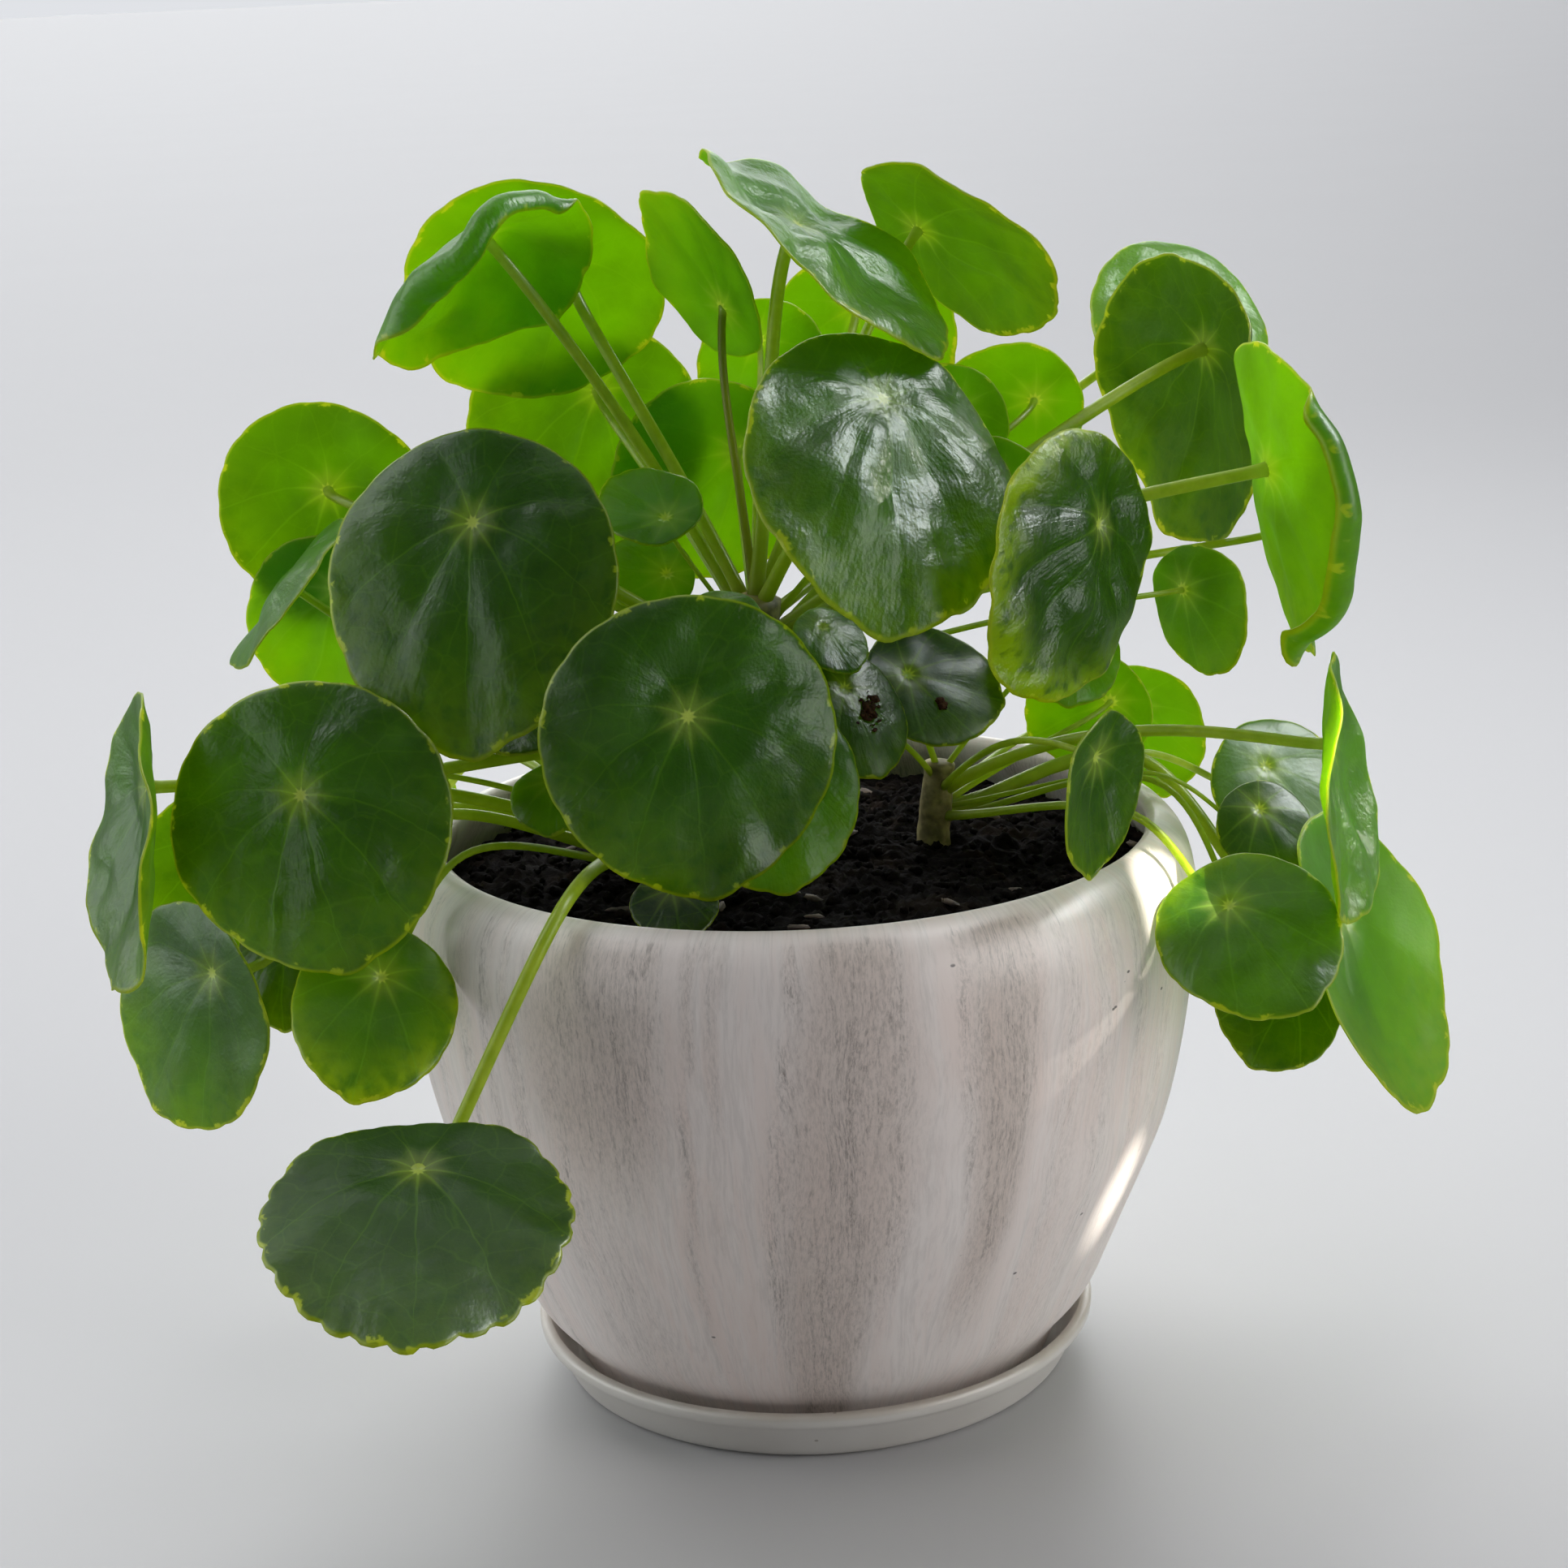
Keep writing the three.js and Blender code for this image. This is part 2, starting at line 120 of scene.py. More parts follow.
# %% Pieces
def make_piece(name, slot, points, faces, finishes, node=None, finish_of=None, **attributes):
    """A mesh object from points in millimetres and a list of face arrays.

    finishes are its materials, finish_of gives each face's number among them, and an attribute holds
    one vector for each point. The piece rides on the one body and may stand for a CAD node.
    """
    corners = np.concatenate([block.ravel() for block in faces]).astype(np.int32)
    sizes = np.concatenate([np.full(len(block), block.shape[1]) for block in faces]).astype(np.int32)
    starts = np.concatenate([[0], np.cumsum(sizes)[:-1]]).astype(np.int32)
    mesh = bpy.data.meshes.new(name)
    for part, count in (("vertices", len(points)), ("loops", len(corners)), ("polygons", len(sizes))):
        getattr(mesh, part).add(count)
    mesh.vertices.foreach_set("co", (np.asarray(points, float) * MM).astype(np.float32).ravel())
    mesh.loops.foreach_set("vertex_index", corners)
    mesh.polygons.foreach_set("loop_start", starts)
    mesh.polygons.foreach_set("loop_total", sizes)
    mesh.update(calc_edges=True)
    mesh.polygons.foreach_set("use_smooth", np.ones(len(sizes), bool))
    for finish in finishes:
        mesh.materials.append(finish)
    if finish_of is not None:
        mesh.polygons.foreach_set("material_index", finish_of.astype(np.int32))
    for title, vectors in attributes.items():
        layer = mesh.attributes.new(title, "FLOAT_VECTOR", "POINT")
        layer.data.foreach_set("vector", vectors.astype(np.float32).ravel())
    mesh.validate()
    piece = bpy.data.objects.new(name, mesh)
    bpy.context.scene.collection.objects.link(piece)
    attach(piece, "root")
    if node:
        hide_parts(node)
    return sum(len(block) * (block.shape[1] - 2) for block in faces)


def unit(vectors):
    """The vectors at length one."""
    return vectors / np.linalg.norm(vectors, axis=-1, keepdims=True)


# %% [markdown]
# ## Smooth lines
#
# Stems, stalks and the pot's profile follow a few chosen points. A centripetal Catmull-Rom line goes
# through all of them: each span is a cubic whose end slopes come from the points on either side,
# weighted by the square root of their distances, which keeps it free of loops.

# %% Lines through points
def through(points, steps_each=12):
    """Points on a centripetal Catmull-Rom line through the given ones."""
    given = np.asarray(points, float)
    padded = np.vstack([2 * given[0] - given[1], given, 2 * given[-1] - given[-2]])
    share = np.linspace(0, 1, steps_each, endpoint=False)[:, None]
    spans = []
    for a, b, c, d in zip(padded, padded[1:], padded[2:], padded[3:]):
        before, here, after = (np.linalg.norm(gap) ** 0.5 for gap in (b - a, c - b, d - c))
        leave = here * ((b - a) / before - (c - a) / (before + here) + (c - b) / here)
        arrive = here * ((c - b) / here - (d - b) / (here + after) + (d - c) / after)
        bend = 2 * b - 2 * c + leave + arrive
        ease = 3 * c - 3 * b - 2 * leave - arrive
        spans.append(b + share * (leave + share * (ease + share * bend)))
    return np.vstack([*spans, given[-1:]])


def bezier(points, steps=40):
    """Points on the cubic that leaves the first of four points towards the second, and ends from the third."""
    t = np.linspace(0, 1, steps + 1)[:, None]
    a, b, c, d = np.asarray(points, float)
    return (1 - t) ** 3 * a + 3 * (1 - t) ** 2 * t * b + 3 * (1 - t) * t**2 * c + t**3 * d


def evenly(line, steps):
    """The same line with points at equal distances along it."""
    reach = np.concatenate([[0], np.cumsum(np.linalg.norm(np.diff(line, axis=0), axis=1))])
    wanted = np.linspace(0, reach[-1], steps + 1)
    return np.stack([np.interp(wanted, reach, line[:, axis]) for axis in range(3)], 1)


def tube(line, radii, sides):
    """A closed tube: a ring of points round each point of the line, and a point at each end.

    The rings are turned by the normal of the plane that the line mostly bends in, so they don't twist.
    """
    ahead = unit(np.gradient(line, axis=0))
    chord = line[-1] - line[0]
    bend = np.cross(chord, line[len(line) // 2] - line[0])
    spare = np.cross(chord, [0.31, 0.17, 0.93])
    normal = bend if np.linalg.norm(bend) > 0.02 * np.linalg.norm(chord) ** 2 else spare
    first = unit(np.cross(ahead, unit(normal)))
    second = np.cross(ahead, first)
    angle = TURN * np.arange(sides) / sides
    ring = np.cos(angle)[None, :, None] * first[:, None] + np.sin(angle)[None, :, None] * second[:, None]
    points = line[:, None] + ring * radii[:, None, None]
    return np.vstack([points.reshape(-1, 3), line[0], line[-1]]), *capped(len(line), sides)


# %% [markdown]
# ## Chance
#
# Lumpy surfaces come from many waves of different lengths and directions added together. One seeded
# source gives all the random draws, so that each run makes the same plant.

# %% Waves
draw = np.random.default_rng(41)


def waves(points, lengths, heights, count=9, source=draw):
    """A lumpy height at each point: for each wave length, sines in random directions, added together."""
    total = np.zeros(points.shape[:-1])
    for length, height in zip(lengths, heights):
        directions = unit(source.normal(size=(count, points.shape[-1])))
        phases = source.uniform(0, TURN, count)
        total += height * np.sin(points @ directions.T * TURN / length + phases).mean(-1) * count**0.5
    return total


# %% [markdown]
# ## Wiring materials
#
# A material is a graph of small steps. The two classes below let a finish read like a formula: a
# wire can be added to or multiplied by a number or another wire, and each step joins itself to what
# it reads. An effect that several finishes use is a node group with named inputs and outputs.

# %% A short way to write node graphs
class Wire:
    """What leaves a node. A sum or product of wires makes the Math node that works it out."""

    def __init__(self, graph, socket):
        self.graph, self.socket = graph, socket

    def __add__(self, other):
        return self.graph.math("ADD", self, other)

    def __radd__(self, other):
        return self.graph.math("ADD", other, self)

    def __sub__(self, other):
        return self.graph.math("SUBTRACT", self, other)

    def __rsub__(self, other):
        return self.graph.math("SUBTRACT", other, self)

    def __mul__(self, other):
        return self.graph.math("MULTIPLY", self, other)

    def __truediv__(self, other):
        return self.graph.math("DIVIDE", self, other)


class Graph:
    """Adds nodes to a tree. An argument is either a plain value or a wire, and a colour is opaque."""

    def __init__(self, tree):
        self.tree = tree

    def feed(self, socket, value):
        if isinstance(value, Wire):
            self.tree.links.new(value.socket, socket)
        else:
            socket.default_value = (*value, 1) if socket.type == "RGBA" else value

    def add(self, kind, settings=None, **inputs):
        made = self.tree.nodes.new(kind)
        for key, value in (settings or {}).items():
            setattr(made, key, value)
        for key, value in inputs.items():
            self.feed(made.inputs[key.replace("_", " ")], value)
        return made

    def node(self, kind, output=0, settings=None, **inputs):
        """The wire that leaves a new node."""
        return Wire(self, self.add(kind, settings, **inputs).outputs[output])

    def filled(self, made, *values):
        """The wire that leaves a node whose inputs are fed in order."""
        for socket, value in zip(made.inputs, values):
            self.feed(socket, value)
        return Wire(self, made.outputs[0])

    def math(self, operation, *values, clamp=False):
        return self.filled(self.add("ShaderNodeMath", {"operation": operation, "use_clamp": clamp}), *values)

    def vector(self, operation, *values):
        return self.filled(self.add("ShaderNodeVectorMath", {"operation": operation}), *values)

    def split(self, vector):
        return [Wire(self, socket) for socket in self.add("ShaderNodeSeparateXYZ", Vector=vector).outputs]

    def joined(self, x, y, z):
        return self.node("ShaderNodeCombineXYZ", X=x, Y=y, Z=z)

    def attribute(self, title):
        return self.node("ShaderNodeAttribute", "Vector", {"attribute_name": title})

    def place(self, *stretch):
        """Where a point is on the piece, in metres, stretched along each axis if asked."""
        here = self.node("ShaderNodeTexCoord", "Object")
        return self.vector("MULTIPLY", here, stretch) if stretch else here

    def noise(self, vector, scale, detail=2.0, roughness=0.5, distortion=0.0):
        return self.node("ShaderNodeTexNoise", Vector=vector, Scale=scale, Detail=detail,
                         Roughness=roughness, Distortion=distortion)

    def cells(self, vector, scale, feature="DISTANCE_TO_EDGE"):
        return self.node("ShaderNodeTexVoronoi", "Distance", {"feature": feature}, Vector=vector, Scale=scale)

    def step(self, value, low, high):
        """0 where the value is at or past low, 1 at or past high, and smooth in between."""
        return self.node("ShaderNodeMapRange", 0, {"interpolation_type": "SMOOTHSTEP"}, Value=value,
                         From_Min=low, From_Max=high)

    def patches(self, vector, scale, detail, low, high):
        """Noise made into patches: 0 where it is below low, 1 above high."""
        return self.step(self.noise(vector, scale, detail), low, high)

    def blend(self, share, first, second):
        """The first colour, with a share of the second."""
        made = self.add("ShaderNodeMix", {"data_type": "RGBA"})
        for number, value in ((0, share), (6, first), (7, second)):
            self.feed(made.inputs[number], value)
        return Wire(self, made.outputs[2])

    def bump(self, height, distance, strength=1.0):
        return self.node("ShaderNodeBump", Height=height, Distance=distance, Strength=strength)

    def effect(self, group, reads):
        """The outputs of one use of a node group, by name."""
        made = self.add("ShaderNodeGroup", {"node_tree": group})
        self.feed(made.inputs[0], reads)
        return {socket.name: Wire(self, socket) for socket in made.outputs}

    def dress(self, mixed=None, **inputs):
        """Ends a material with a plain surface. mixed is a share, and the shader that takes that share."""
        surface = self.node("ShaderNodeBsdfPrincipled", **inputs)
        if mixed:
            share, other = mixed
            surface = self.filled(self.add("ShaderNodeMixShader"), share, surface, other)
        self.add("ShaderNodeOutputMaterial", Surface=surface)


def new_finish(name):
    """An empty material and its graph."""
    material = bpy.data.materials.new(name)
    material.use_nodes = True
    material.node_tree.nodes.clear()
    return material, Graph(material.node_tree)


def new_effect(name, reads, *gives):
    """A node group that reads one vector and gives numbers: its tree, its graph and what it reads."""
    group = bpy.data.node_groups.new(name, "ShaderNodeTree")
    group.interface.new_socket(reads, in_out="INPUT", socket_type="NodeSocketVector")
    for title in gives:
        group.interface.new_socket(title, in_out="OUTPUT", socket_type="NodeSocketFloat")
    graph = Graph(group)
    return group, graph, graph.node("NodeGroupInput", reads)


# %% [markdown]
# ## Floor and light
#
# The plant stands in a pale room with a big window behind it. Light comes through the leaves towards
# the camera, which makes their undersides glow, and the tops of the leaves mirror the bright room.
# So the room's own light is stronger behind than in front. Big soft lamps stand for the window and the
# pale walls, and narrow lamps at the right stand for the strips of sun that fall on the outermost leaves.

# %% Floor
FLOOR_COLOUR = (0.56, 0.555, 0.565)

floor_mesh = bpy.data.meshes.new("floor")
floor_mesh.from_pydata([(-90, -9, 0), (90, -9, 0), (90, 400, 0), (-90, 400, 0)], [], [(0, 1, 2, 3)])
floor_object = bpy.data.objects.new("floor", floor_mesh)
bpy.context.scene.collection.objects.link(floor_object)
floor_paint, g = new_finish("floor_paint")
shaded = g.blend(g.noise(g.place(), 2.5, 3.0), FLOOR_COLOUR, [0.97 * c for c in FLOOR_COLOUR])
g.dress(Base_Color=shaded, Roughness=0.5, Specular_IOR_Level=0.2)
floor_mesh.materials.append(floor_paint)

# %% Lamps and the room's light
PLANT_MIDDLE = (0, 0, 0.17)
SUN_FROM = (0.87, 0.42, 0.25)
SUN_COLOUR = (1.0, 0.95, 0.84)
# Name, place and size (m), power (W), colour, and whether it shows only as a reflection in wet surfaces.
SOFT_LAMPS = [
    ("left_wall", (-1.4, 0.15, 0.6), (1.0, 1.0), 6, (0.95, 0.98, 1.0), False),
    ("right_room", (1.35, -0.55, 0.55), (0.9, 0.9), 8, (1.0, 0.985, 0.965), False),
    ("ceiling", (0.1, -0.1, 1.6), (1.0, 0.8), 3, (1.0, 0.99, 0.97), False),
    ("sky_gloss", (0.98, 0.08, 1.2), (0.45, 0.7), 50, (0.95, 0.98, 1.0), True),
    ("window_gloss", (0.35, 1.4, 0.75), (1.3, 0.6), 9, (0.95, 0.98, 1.0), True),
    ("left_gloss", (-1.4, 0.1, 0.5), (1.2, 1.1), 13, (0.95, 0.98, 1.0), True),
    ("right_gloss", (1.2, -0.7, 0.35), (0.7, 0.9), 12, (0.97, 0.99, 1.0), True),
    ("front_left_gloss", (-1.2, -0.85, 0.45), (0.6, 1.1), 6, (0.96, 0.985, 1.0), True),
    ("top_gloss", (-1.0, 0.0, 1.35), (0.8, 0.8), 13, (0.96, 0.985, 1.0), True),
]


def new_lamp(name, kind, power, colour, place, target, **settings):
    """A lamp that shines from one point at another."""
    lamp = bpy.data.lights.new(name, kind)
    lamp.energy, lamp.color = power, colour
    for key, value in settings.items():
        setattr(lamp, key, value)
    back = unit(np.array(place, float) - np.array(target, float))
    side = unit(np.cross([0, 0, 1], back))
    return stand(name, lamp, place, side, np.cross(back, side), back)


def sun_strip(name, target, width, power, source=SUN_FROM, distance=1.6):
    """A narrow round beam with a crisp edge. Target and width are in mm, the lamp's distance in metres."""
    target = np.array(target) * MM
    start = target + distance * unit(np.array(source))
    new_lamp(name, "SPOT", power, SUN_COLOUR, start.tolist(), target.tolist(), spot_blend=0.06,
             shadow_soft_size=0.004, spot_size=2 * math.atan(0.5 * width * MM / distance))


new_lamp("window", "SUN", 2.0, (0.97, 0.985, 1.0), (-0.3, 1.45, 1.25), PLANT_MIDDLE, angle=math.radians(58))
for name, place, (wide, tall), power, colour, gloss_only in SOFT_LAMPS:
    made = new_lamp(name, "AREA", power, colour, place, PLANT_MIDDLE, shape="RECTANGLE", size=wide, size_y=tall)
    made.visible_diffuse = made.visible_transmission = not gloss_only
sun_strip("sun_high", (118, -2, 236), 50, 60)
sun_strip("sun_low", (124, -34, 128), 62, 48)
sun_strip("sun_glint", (70, -46, 56), 15, 62, (0.78, -0.3, 0.55), distance=0.84)
sun_strip("sun_leaf", (93, -52, 139), 23, 260, (0.5, -0.45, 0.74), distance=1.25)

world = bpy.data.worlds.new("room")
world.use_nodes = True
g = Graph(world.node_tree)
sideways, behind, _ = g.split(g.node("ShaderNodeTexCoord", "Generated"))
strength = (0.12 + g.step(behind, -0.2, 0.8) * 0.75) * (1.0 - g.step(sideways, 0.1, 0.75) * 0.55)
background = world.node_tree.nodes["Background"]
g.feed(background.inputs["Color"], (0.86, 0.88, 0.92))
g.feed(background.inputs["Strength"], strength)
bpy.context.scene.world = world
bpy.context.scene.view_settings.view_transform = "Standard"

# %% [markdown]
# ## The pot
#
# The pot is thrown or cast clay, so its form is a profile turned round the upright axis: a narrow
# foot, a belly high up, and a lip that turns in. Its wall runs down the inside to the floor and out
# through the drain hole, so the profile closes on itself and the grid is a ring of rings.

# %% Pot and saucer forms
GAP = 0.3
SAUCER = dict(foot=62, rim=69.8, height=13.8, wall=2.8, floor=3.5)
POT = dict(height=138, mouth=84.5, belly=96.6, belly_height=121, foot=57, floor=6, drain=6)
POT_BASE = SAUCER["floor"] + GAP
TOP, MOUTH, FLOOR, DRAIN = POT["height"], POT["mouth"], POT_BASE + POT["floor"], POT["drain"]
POT_OUTSIDE = [
    (POT["foot"] + 1, POT_BASE), (59.5, POT_BASE + 1.2), (63, 12.5), (70.6, 22), (75.6, 33), (80.2, 44),
    (84.8, 55), (89, 66), (92.4, 80), (95.2, 98), (POT["belly"], POT["belly_height"] - 6),
    (POT["belly"] - 0.4, POT["belly_height"] + 4), (94.2, TOP - 6), (91, TOP - 2), (88.4, TOP - 0.4), (86.9, TOP),
]
POT_LIP = [(86.2, TOP - 0.15), (85.2, TOP - 0.9), (MOUTH, TOP - 2.5)]
POT_INSIDE = [(MOUTH + 0.8, TOP - 6), (91, 122), (90.6, 108), (87.2, 80), (79.6, 55), (70.4, 33), (62, 18),
              (54, FLOOR)]
POT_DRAIN = [(DRAIN + 1, FLOOR), (DRAIN, FLOOR - 1), (DRAIN, POT_BASE + 1), (DRAIN + 1, POT_BASE)]


def turned_surface(profile, sides):
    """A profile of (radius, height) points turned round the upright axis, one row for each point."""
    angle = TURN * np.arange(sides) / sides
    radius, height = np.asarray(profile, float).T
    x, y = radius[:, None] * np.sin(angle), -radius[:, None] * np.cos(angle)
    return np.stack([x, y, np.broadcast_to(height[:, None], x.shape)], -1), angle


POT_SIDES = 240
pot_profile = np.vstack([through(POT_OUTSIDE, 7), POT_LIP, through(POT_INSIDE, 3), POT_DRAIN])
pot_grid, pot_angle = turned_surface(pot_profile, POT_SIDES)
print("pot grid:", pot_grid.shape, "widest:", round(2 * pot_profile[:, 0].max(), 1), "mm")

# %% [markdown]
# The glaze is off-white with grey and brown streaks that ran down like paint. They come in clusters.
# Where each cluster lies is worked out here, at every point of the pot, as a sum of soft bands that
# wander with height. The thin lines and the grain inside the bands are the material's work.

# %% Where the streaks lie
# Each band: its angle from the front at the lip, how far it has moved by the foot, its half width (all
# in degrees), its strength, how far it wanders, the height at which it ends (mm; 0 runs to the foot)
# and how brown it is.
STREAKS = [
    (-28.5, -4, 8.6, 0.85, 0.8, 62, 1.0), (-21.5, -5, 2.0, 1.0, 0.6, 74, 0.7), (-36.5, 3, 1.8, 0.9, 0.8, 36, 0.3),
    (-31, -3, 7.0, 0.35, 1.5, 0, 0.6), (-14, -6, 0.9, 0.8, 0.4, 24, 0.5), (-11.6, -3, 0.8, 0.6, 0.4, 58, 0.5),
    (6.2, -5, 7.8, 0.75, 1.2, 0, 1.0), (-0.8, -8, 0.8, 1.0, 0.9, 18, 0.2), (7.5, -7, 2.4, 1.0, 1.4, 0, 0.6),
    (12.6, -4, 1.4, 0.9, 1.0, 30, 0.4), (20.8, 0, 0.8, 1.0, 0.3, 84, 0.1), (28, -4, 4.8, 0.85, 0.8, 26, 1.0),
    (24.2, -3, 1.0, 0.7, 0.5, 50, 0.4), (38, -2, 2.6, 0.4, 1.0, 0, 0.2), (45, -2, 3.6, 0.35, 1.0, 0, 0.1),
    (53, 0, 2.0, 0.45, 1.0, 0, 0.0), (62, 0, 4.0, 0.35, 1.5, 0, 0.1), (-43, 0, 1.2, 0.75, 0.5, 50, 0.2),
    (-48, 0, 1.0, 0.75, 0.5, 40, 0.2), (-53.5, 0, 1.6, 0.6, 0.8, 0, 0.2), (-62, 0, 2.4, 0.55, 1.0, 0, 0.1),
    (-72, 0, 2.0, 0.5, 1.2, 30, 0.1),
]
BACK_STREAKS = 17


def streak_bands(angle, height):
    """How strongly each point is streaked, 0 to 1, and how brown the streak is."""
    bands = list(STREAKS)
    for _ in range(BACK_STREAKS):
        bands.append((draw.uniform(75, 270), draw.uniform(-6, 3), draw.uniform(1, 7), draw.uniform(0.4, 1),
                      draw.uniform(0.5, 2), draw.choice([0, 0, 40, 70]), draw.uniform(0, 1)))
    grey, brown = np.zeros(angle.shape), np.zeros(angle.shape)
    down = np.clip(1 - height / TOP, 0, 1)
    for middle, lean, width, strength, wander, ends, browned in bands:
        phase = draw.uniform(0, TURN, 3)
        drift = lean * down + wander * (np.sin(height / 26 + phase[0]) + 0.3 * np.sin(height / 11 + phase[1]))
        away = (np.degrees(angle) - middle - drift + 180) % 360 - 180
        spread = width * (1 + 0.25 * np.sin(height / 23 + phase[2]))
        fade = np.clip((height - ends) / 34, 0, 1) if ends else 1.0
        band = strength * fade * np.exp(-((away / spread) ** 4))
        grey = np.maximum(grey, band)
        brown = np.maximum(brown, band * browned)
    below_lip = np.clip((TOP - 0.8 - height) / 1.6, 0, 1)
    return grey * below_lip, brown * below_lip


pot_height = pot_grid[..., 2]
grey, brown = streak_bands(np.broadcast_to(pot_angle, pot_height.shape), pot_height)
from_lip = np.linalg.norm(pot_profile - POT_LIP[1], axis=1)
lip_line = np.broadcast_to(np.exp(-((from_lip / 1.3) ** 2))[:, None], grey.shape)
pot_marks = np.stack([grey, brown, lip_line], -1).reshape(-1, 3)
print("streaked share of the pot:", round(float((grey > 0.3).mean()), 2))

# %% [markdown]
# The streak lines need a pattern that is fine across and long down. Object coordinates divided by
# their distance from the axis stay the same all the way down a meridian, so noise read there makes
# lines that follow the pot's wall, with no seam. A little noise added first lets the lines meander.

# %% The streaks' effect
streaks, g, cluster = new_effect("running streaks", "Cluster", "Lines", "Grain", "Wash", "Grey", "Brown", "Lip")
x, y, z = g.split(g.place())
distance = g.math("SQRT", x * x + y * y)
round_it = g.joined(x / distance, y / distance, z * 9.0)
moved = g.noise(g.vector("MULTIPLY", round_it, (1, 1, 0.5)), 3.4, 2.0) * 0.16
meander = g.vector("ADD", round_it, g.joined(moved, moved, 0.0))
fine = g.noise(g.vector("MULTIPLY", meander, (1, 1, 0.13)), 92.0, 5.0, 0.68, 0.25)
broad = g.noise(g.vector("MULTIPLY", meander, (1, 1, 0.08)), 21.0, 4.0, 0.6, 0.15)
sand = g.noise(g.vector("MULTIPLY", meander, (1, 1, 0.3)), 180.0, 3.0, 0.75, 0.4)
greyed, browned, lip = g.split(cluster)
g.add("NodeGroupOutput", Lines=g.step(fine * 0.68 + broad * 0.42, 0.5, 0.7), Grain=g.step(sand, 0.4, 0.66),
      Wash=g.step(broad, 0.35, 0.62), Grey=greyed, Brown=browned, Lip=lip)

# %% Glaze materials
pot_glaze, g = new_finish("pot_glaze")
marks = g.effect(streaks, g.attribute("cluster"))
cloud = g.noise(g.place(), 14.0, 3.0)
base = g.blend(g.step(cloud, 0.35, 0.7), (0.86, 0.735, 0.68), (0.88, 0.80, 0.76))
base = g.blend(marks["Wash"] * 0.45, base, (0.90, 0.865, 0.835))
warm = g.blend(marks["Brown"] * 0.8, base, (0.60, 0.495, 0.43))
grained = g.blend(marks["Grey"] * marks["Grain"] * 0.6, warm, (0.44, 0.385, 0.35))
dark = marks["Grey"] * (marks["Lines"] * (0.35 + marks["Grain"]))
lined = g.blend(g.math("MAXIMUM", dark * 0.74, marks["Lines"] * 0.17), grained, (0.27, 0.225, 0.195))
speck = g.step(g.cells(g.place(1, 1, 1.6), 130.0, "F1"), 0.095, 0.05)
lucky = g.patches(g.place(), 60.0, 1.0, 0.6, 0.64)
specked = g.blend(speck * lucky * 0.85, lined, (0.05, 0.04, 0.035))
specked = g.blend(marks["Lip"] * 0.55, specked, (0.36, 0.27, 0.19))
g.dress(Base_Color=specked, Roughness=0.36 + g.noise(g.place(), 90.0, 2.0) * 0.14,
        Normal=g.bump(g.noise(g.place(1, 1, 3), 55.0, 2.0), 0.0003, 0.35))

saucer_glaze, g = new_finish("saucer_glaze")
cream = g.blend(g.patches(g.place(), 26.0, 3.0, 0.3, 0.75), (0.66, 0.63, 0.585), (0.73, 0.705, 0.665))
_, _, high = g.split(g.place())
worn = g.step(high, 0.0122, 0.0134) * g.patches(g.place(), 40.0, 3.0, 0.3, 0.65)
cream = g.blend(worn * 0.45, cream, (0.50, 0.42, 0.32))
spot = g.step(g.cells(g.place(), 120.0, "F1"), 0.07, 0.04) * g.patches(g.place(), 55.0, 1.0, 0.58, 0.62)
cream = g.blend(spot * 0.6, cream, (0.2, 0.16, 0.12))
g.dress(Base_Color=cream, Roughness=0.42, Normal=g.bump(g.noise(g.place(), 80.0, 2.0), 0.0002, 0.3))

# %% Pot and saucer pieces
count = make_piece("glazed_pot", "pot_glaze", pot_grid.reshape(-1, 3),
                   [grid_quads(len(pot_profile), POT_SIDES, close_rows=True)], [pot_glaze], "pot",
                   cluster=pot_marks)
print("pot triangles:", count)

SAUCER_SIDES = 200
foot, rim, height, wall, floor = (SAUCER[key] for key in ("foot", "rim", "height", "wall", "floor"))
inner = rim - wall
saucer_profile = np.vstack([
    [(foot - 3, 0), (foot - 0.6, 0.05)],
    through([(foot, 0.2), (foot + 1.2, 1), (65.6, 5.4), (rim - 1.2, height - 3.6)], 5),
    [(rim - 0.5, height - 3.2), (rim - 0.1, height - 2.7), (rim, height - 2.1), (rim, height - 0.9),
     (rim - 0.25, height - 0.3), (rim - 0.8, height), (inner + 0.5, height), (inner + 0.1, height - 0.25),
     (inner, height - 0.9)],
    through([(inner - 0.2, height - 2), (64.6, 8), (foot + 0.8, floor + 1.4), (foot - 1.2, floor)], 5),
    [(foot - 6, floor), (20, floor)],
])
saucer_grid, _ = turned_surface(saucer_profile, SAUCER_SIDES)
saucer_points = np.vstack([saucer_grid.reshape(-1, 3), [[0, 0, 0], [0, 0, floor]]])
count = make_piece("glazed_saucer", "saucer_glaze", saucer_points, capped(len(saucer_profile), SAUCER_SIDES),
                   [saucer_glaze], "saucer")
print("saucer triangles:", count)

# %% [markdown]
# ## The soil
#
# Potting soil is dark, damp and crumbly. The low mound is a disc of rings whose height is the CAD
# mound's own formula with finer lumps added. Loose crumbs and bits of bark lie on it: each is a small
# rounded stone shape whose points are pushed in and out, copied with a new size, turn and place.

# %% Soil
SOIL = dict(edge=126, crown=4, crumb=0.9)
SOIL_SIDES, SOIL_RINGS = 300, 84


def soil_height(radius, angle):
    """A low mound with lumps made by crossed waves."""
    share = radius / MOUTH
    lumps = np.sin(5 * angle + 9 * share) * np.sin(3 * angle - 14 * share)
    return SOIL["edge"] + SOIL["crown"] * (1 - share**2) + SOIL["crumb"] * lumps


def crumble(points):
    """Finer lumps: rounded waves with sharp valleys between them, of several sizes."""
    coarse = np.abs(waves(points, (11, 6), (0.9, 0.7)))
    fine = np.abs(waves(points, (3.4, 2.1, 1.3), (0.5, 0.4, 0.25)))
    return coarse + fine - 0.9


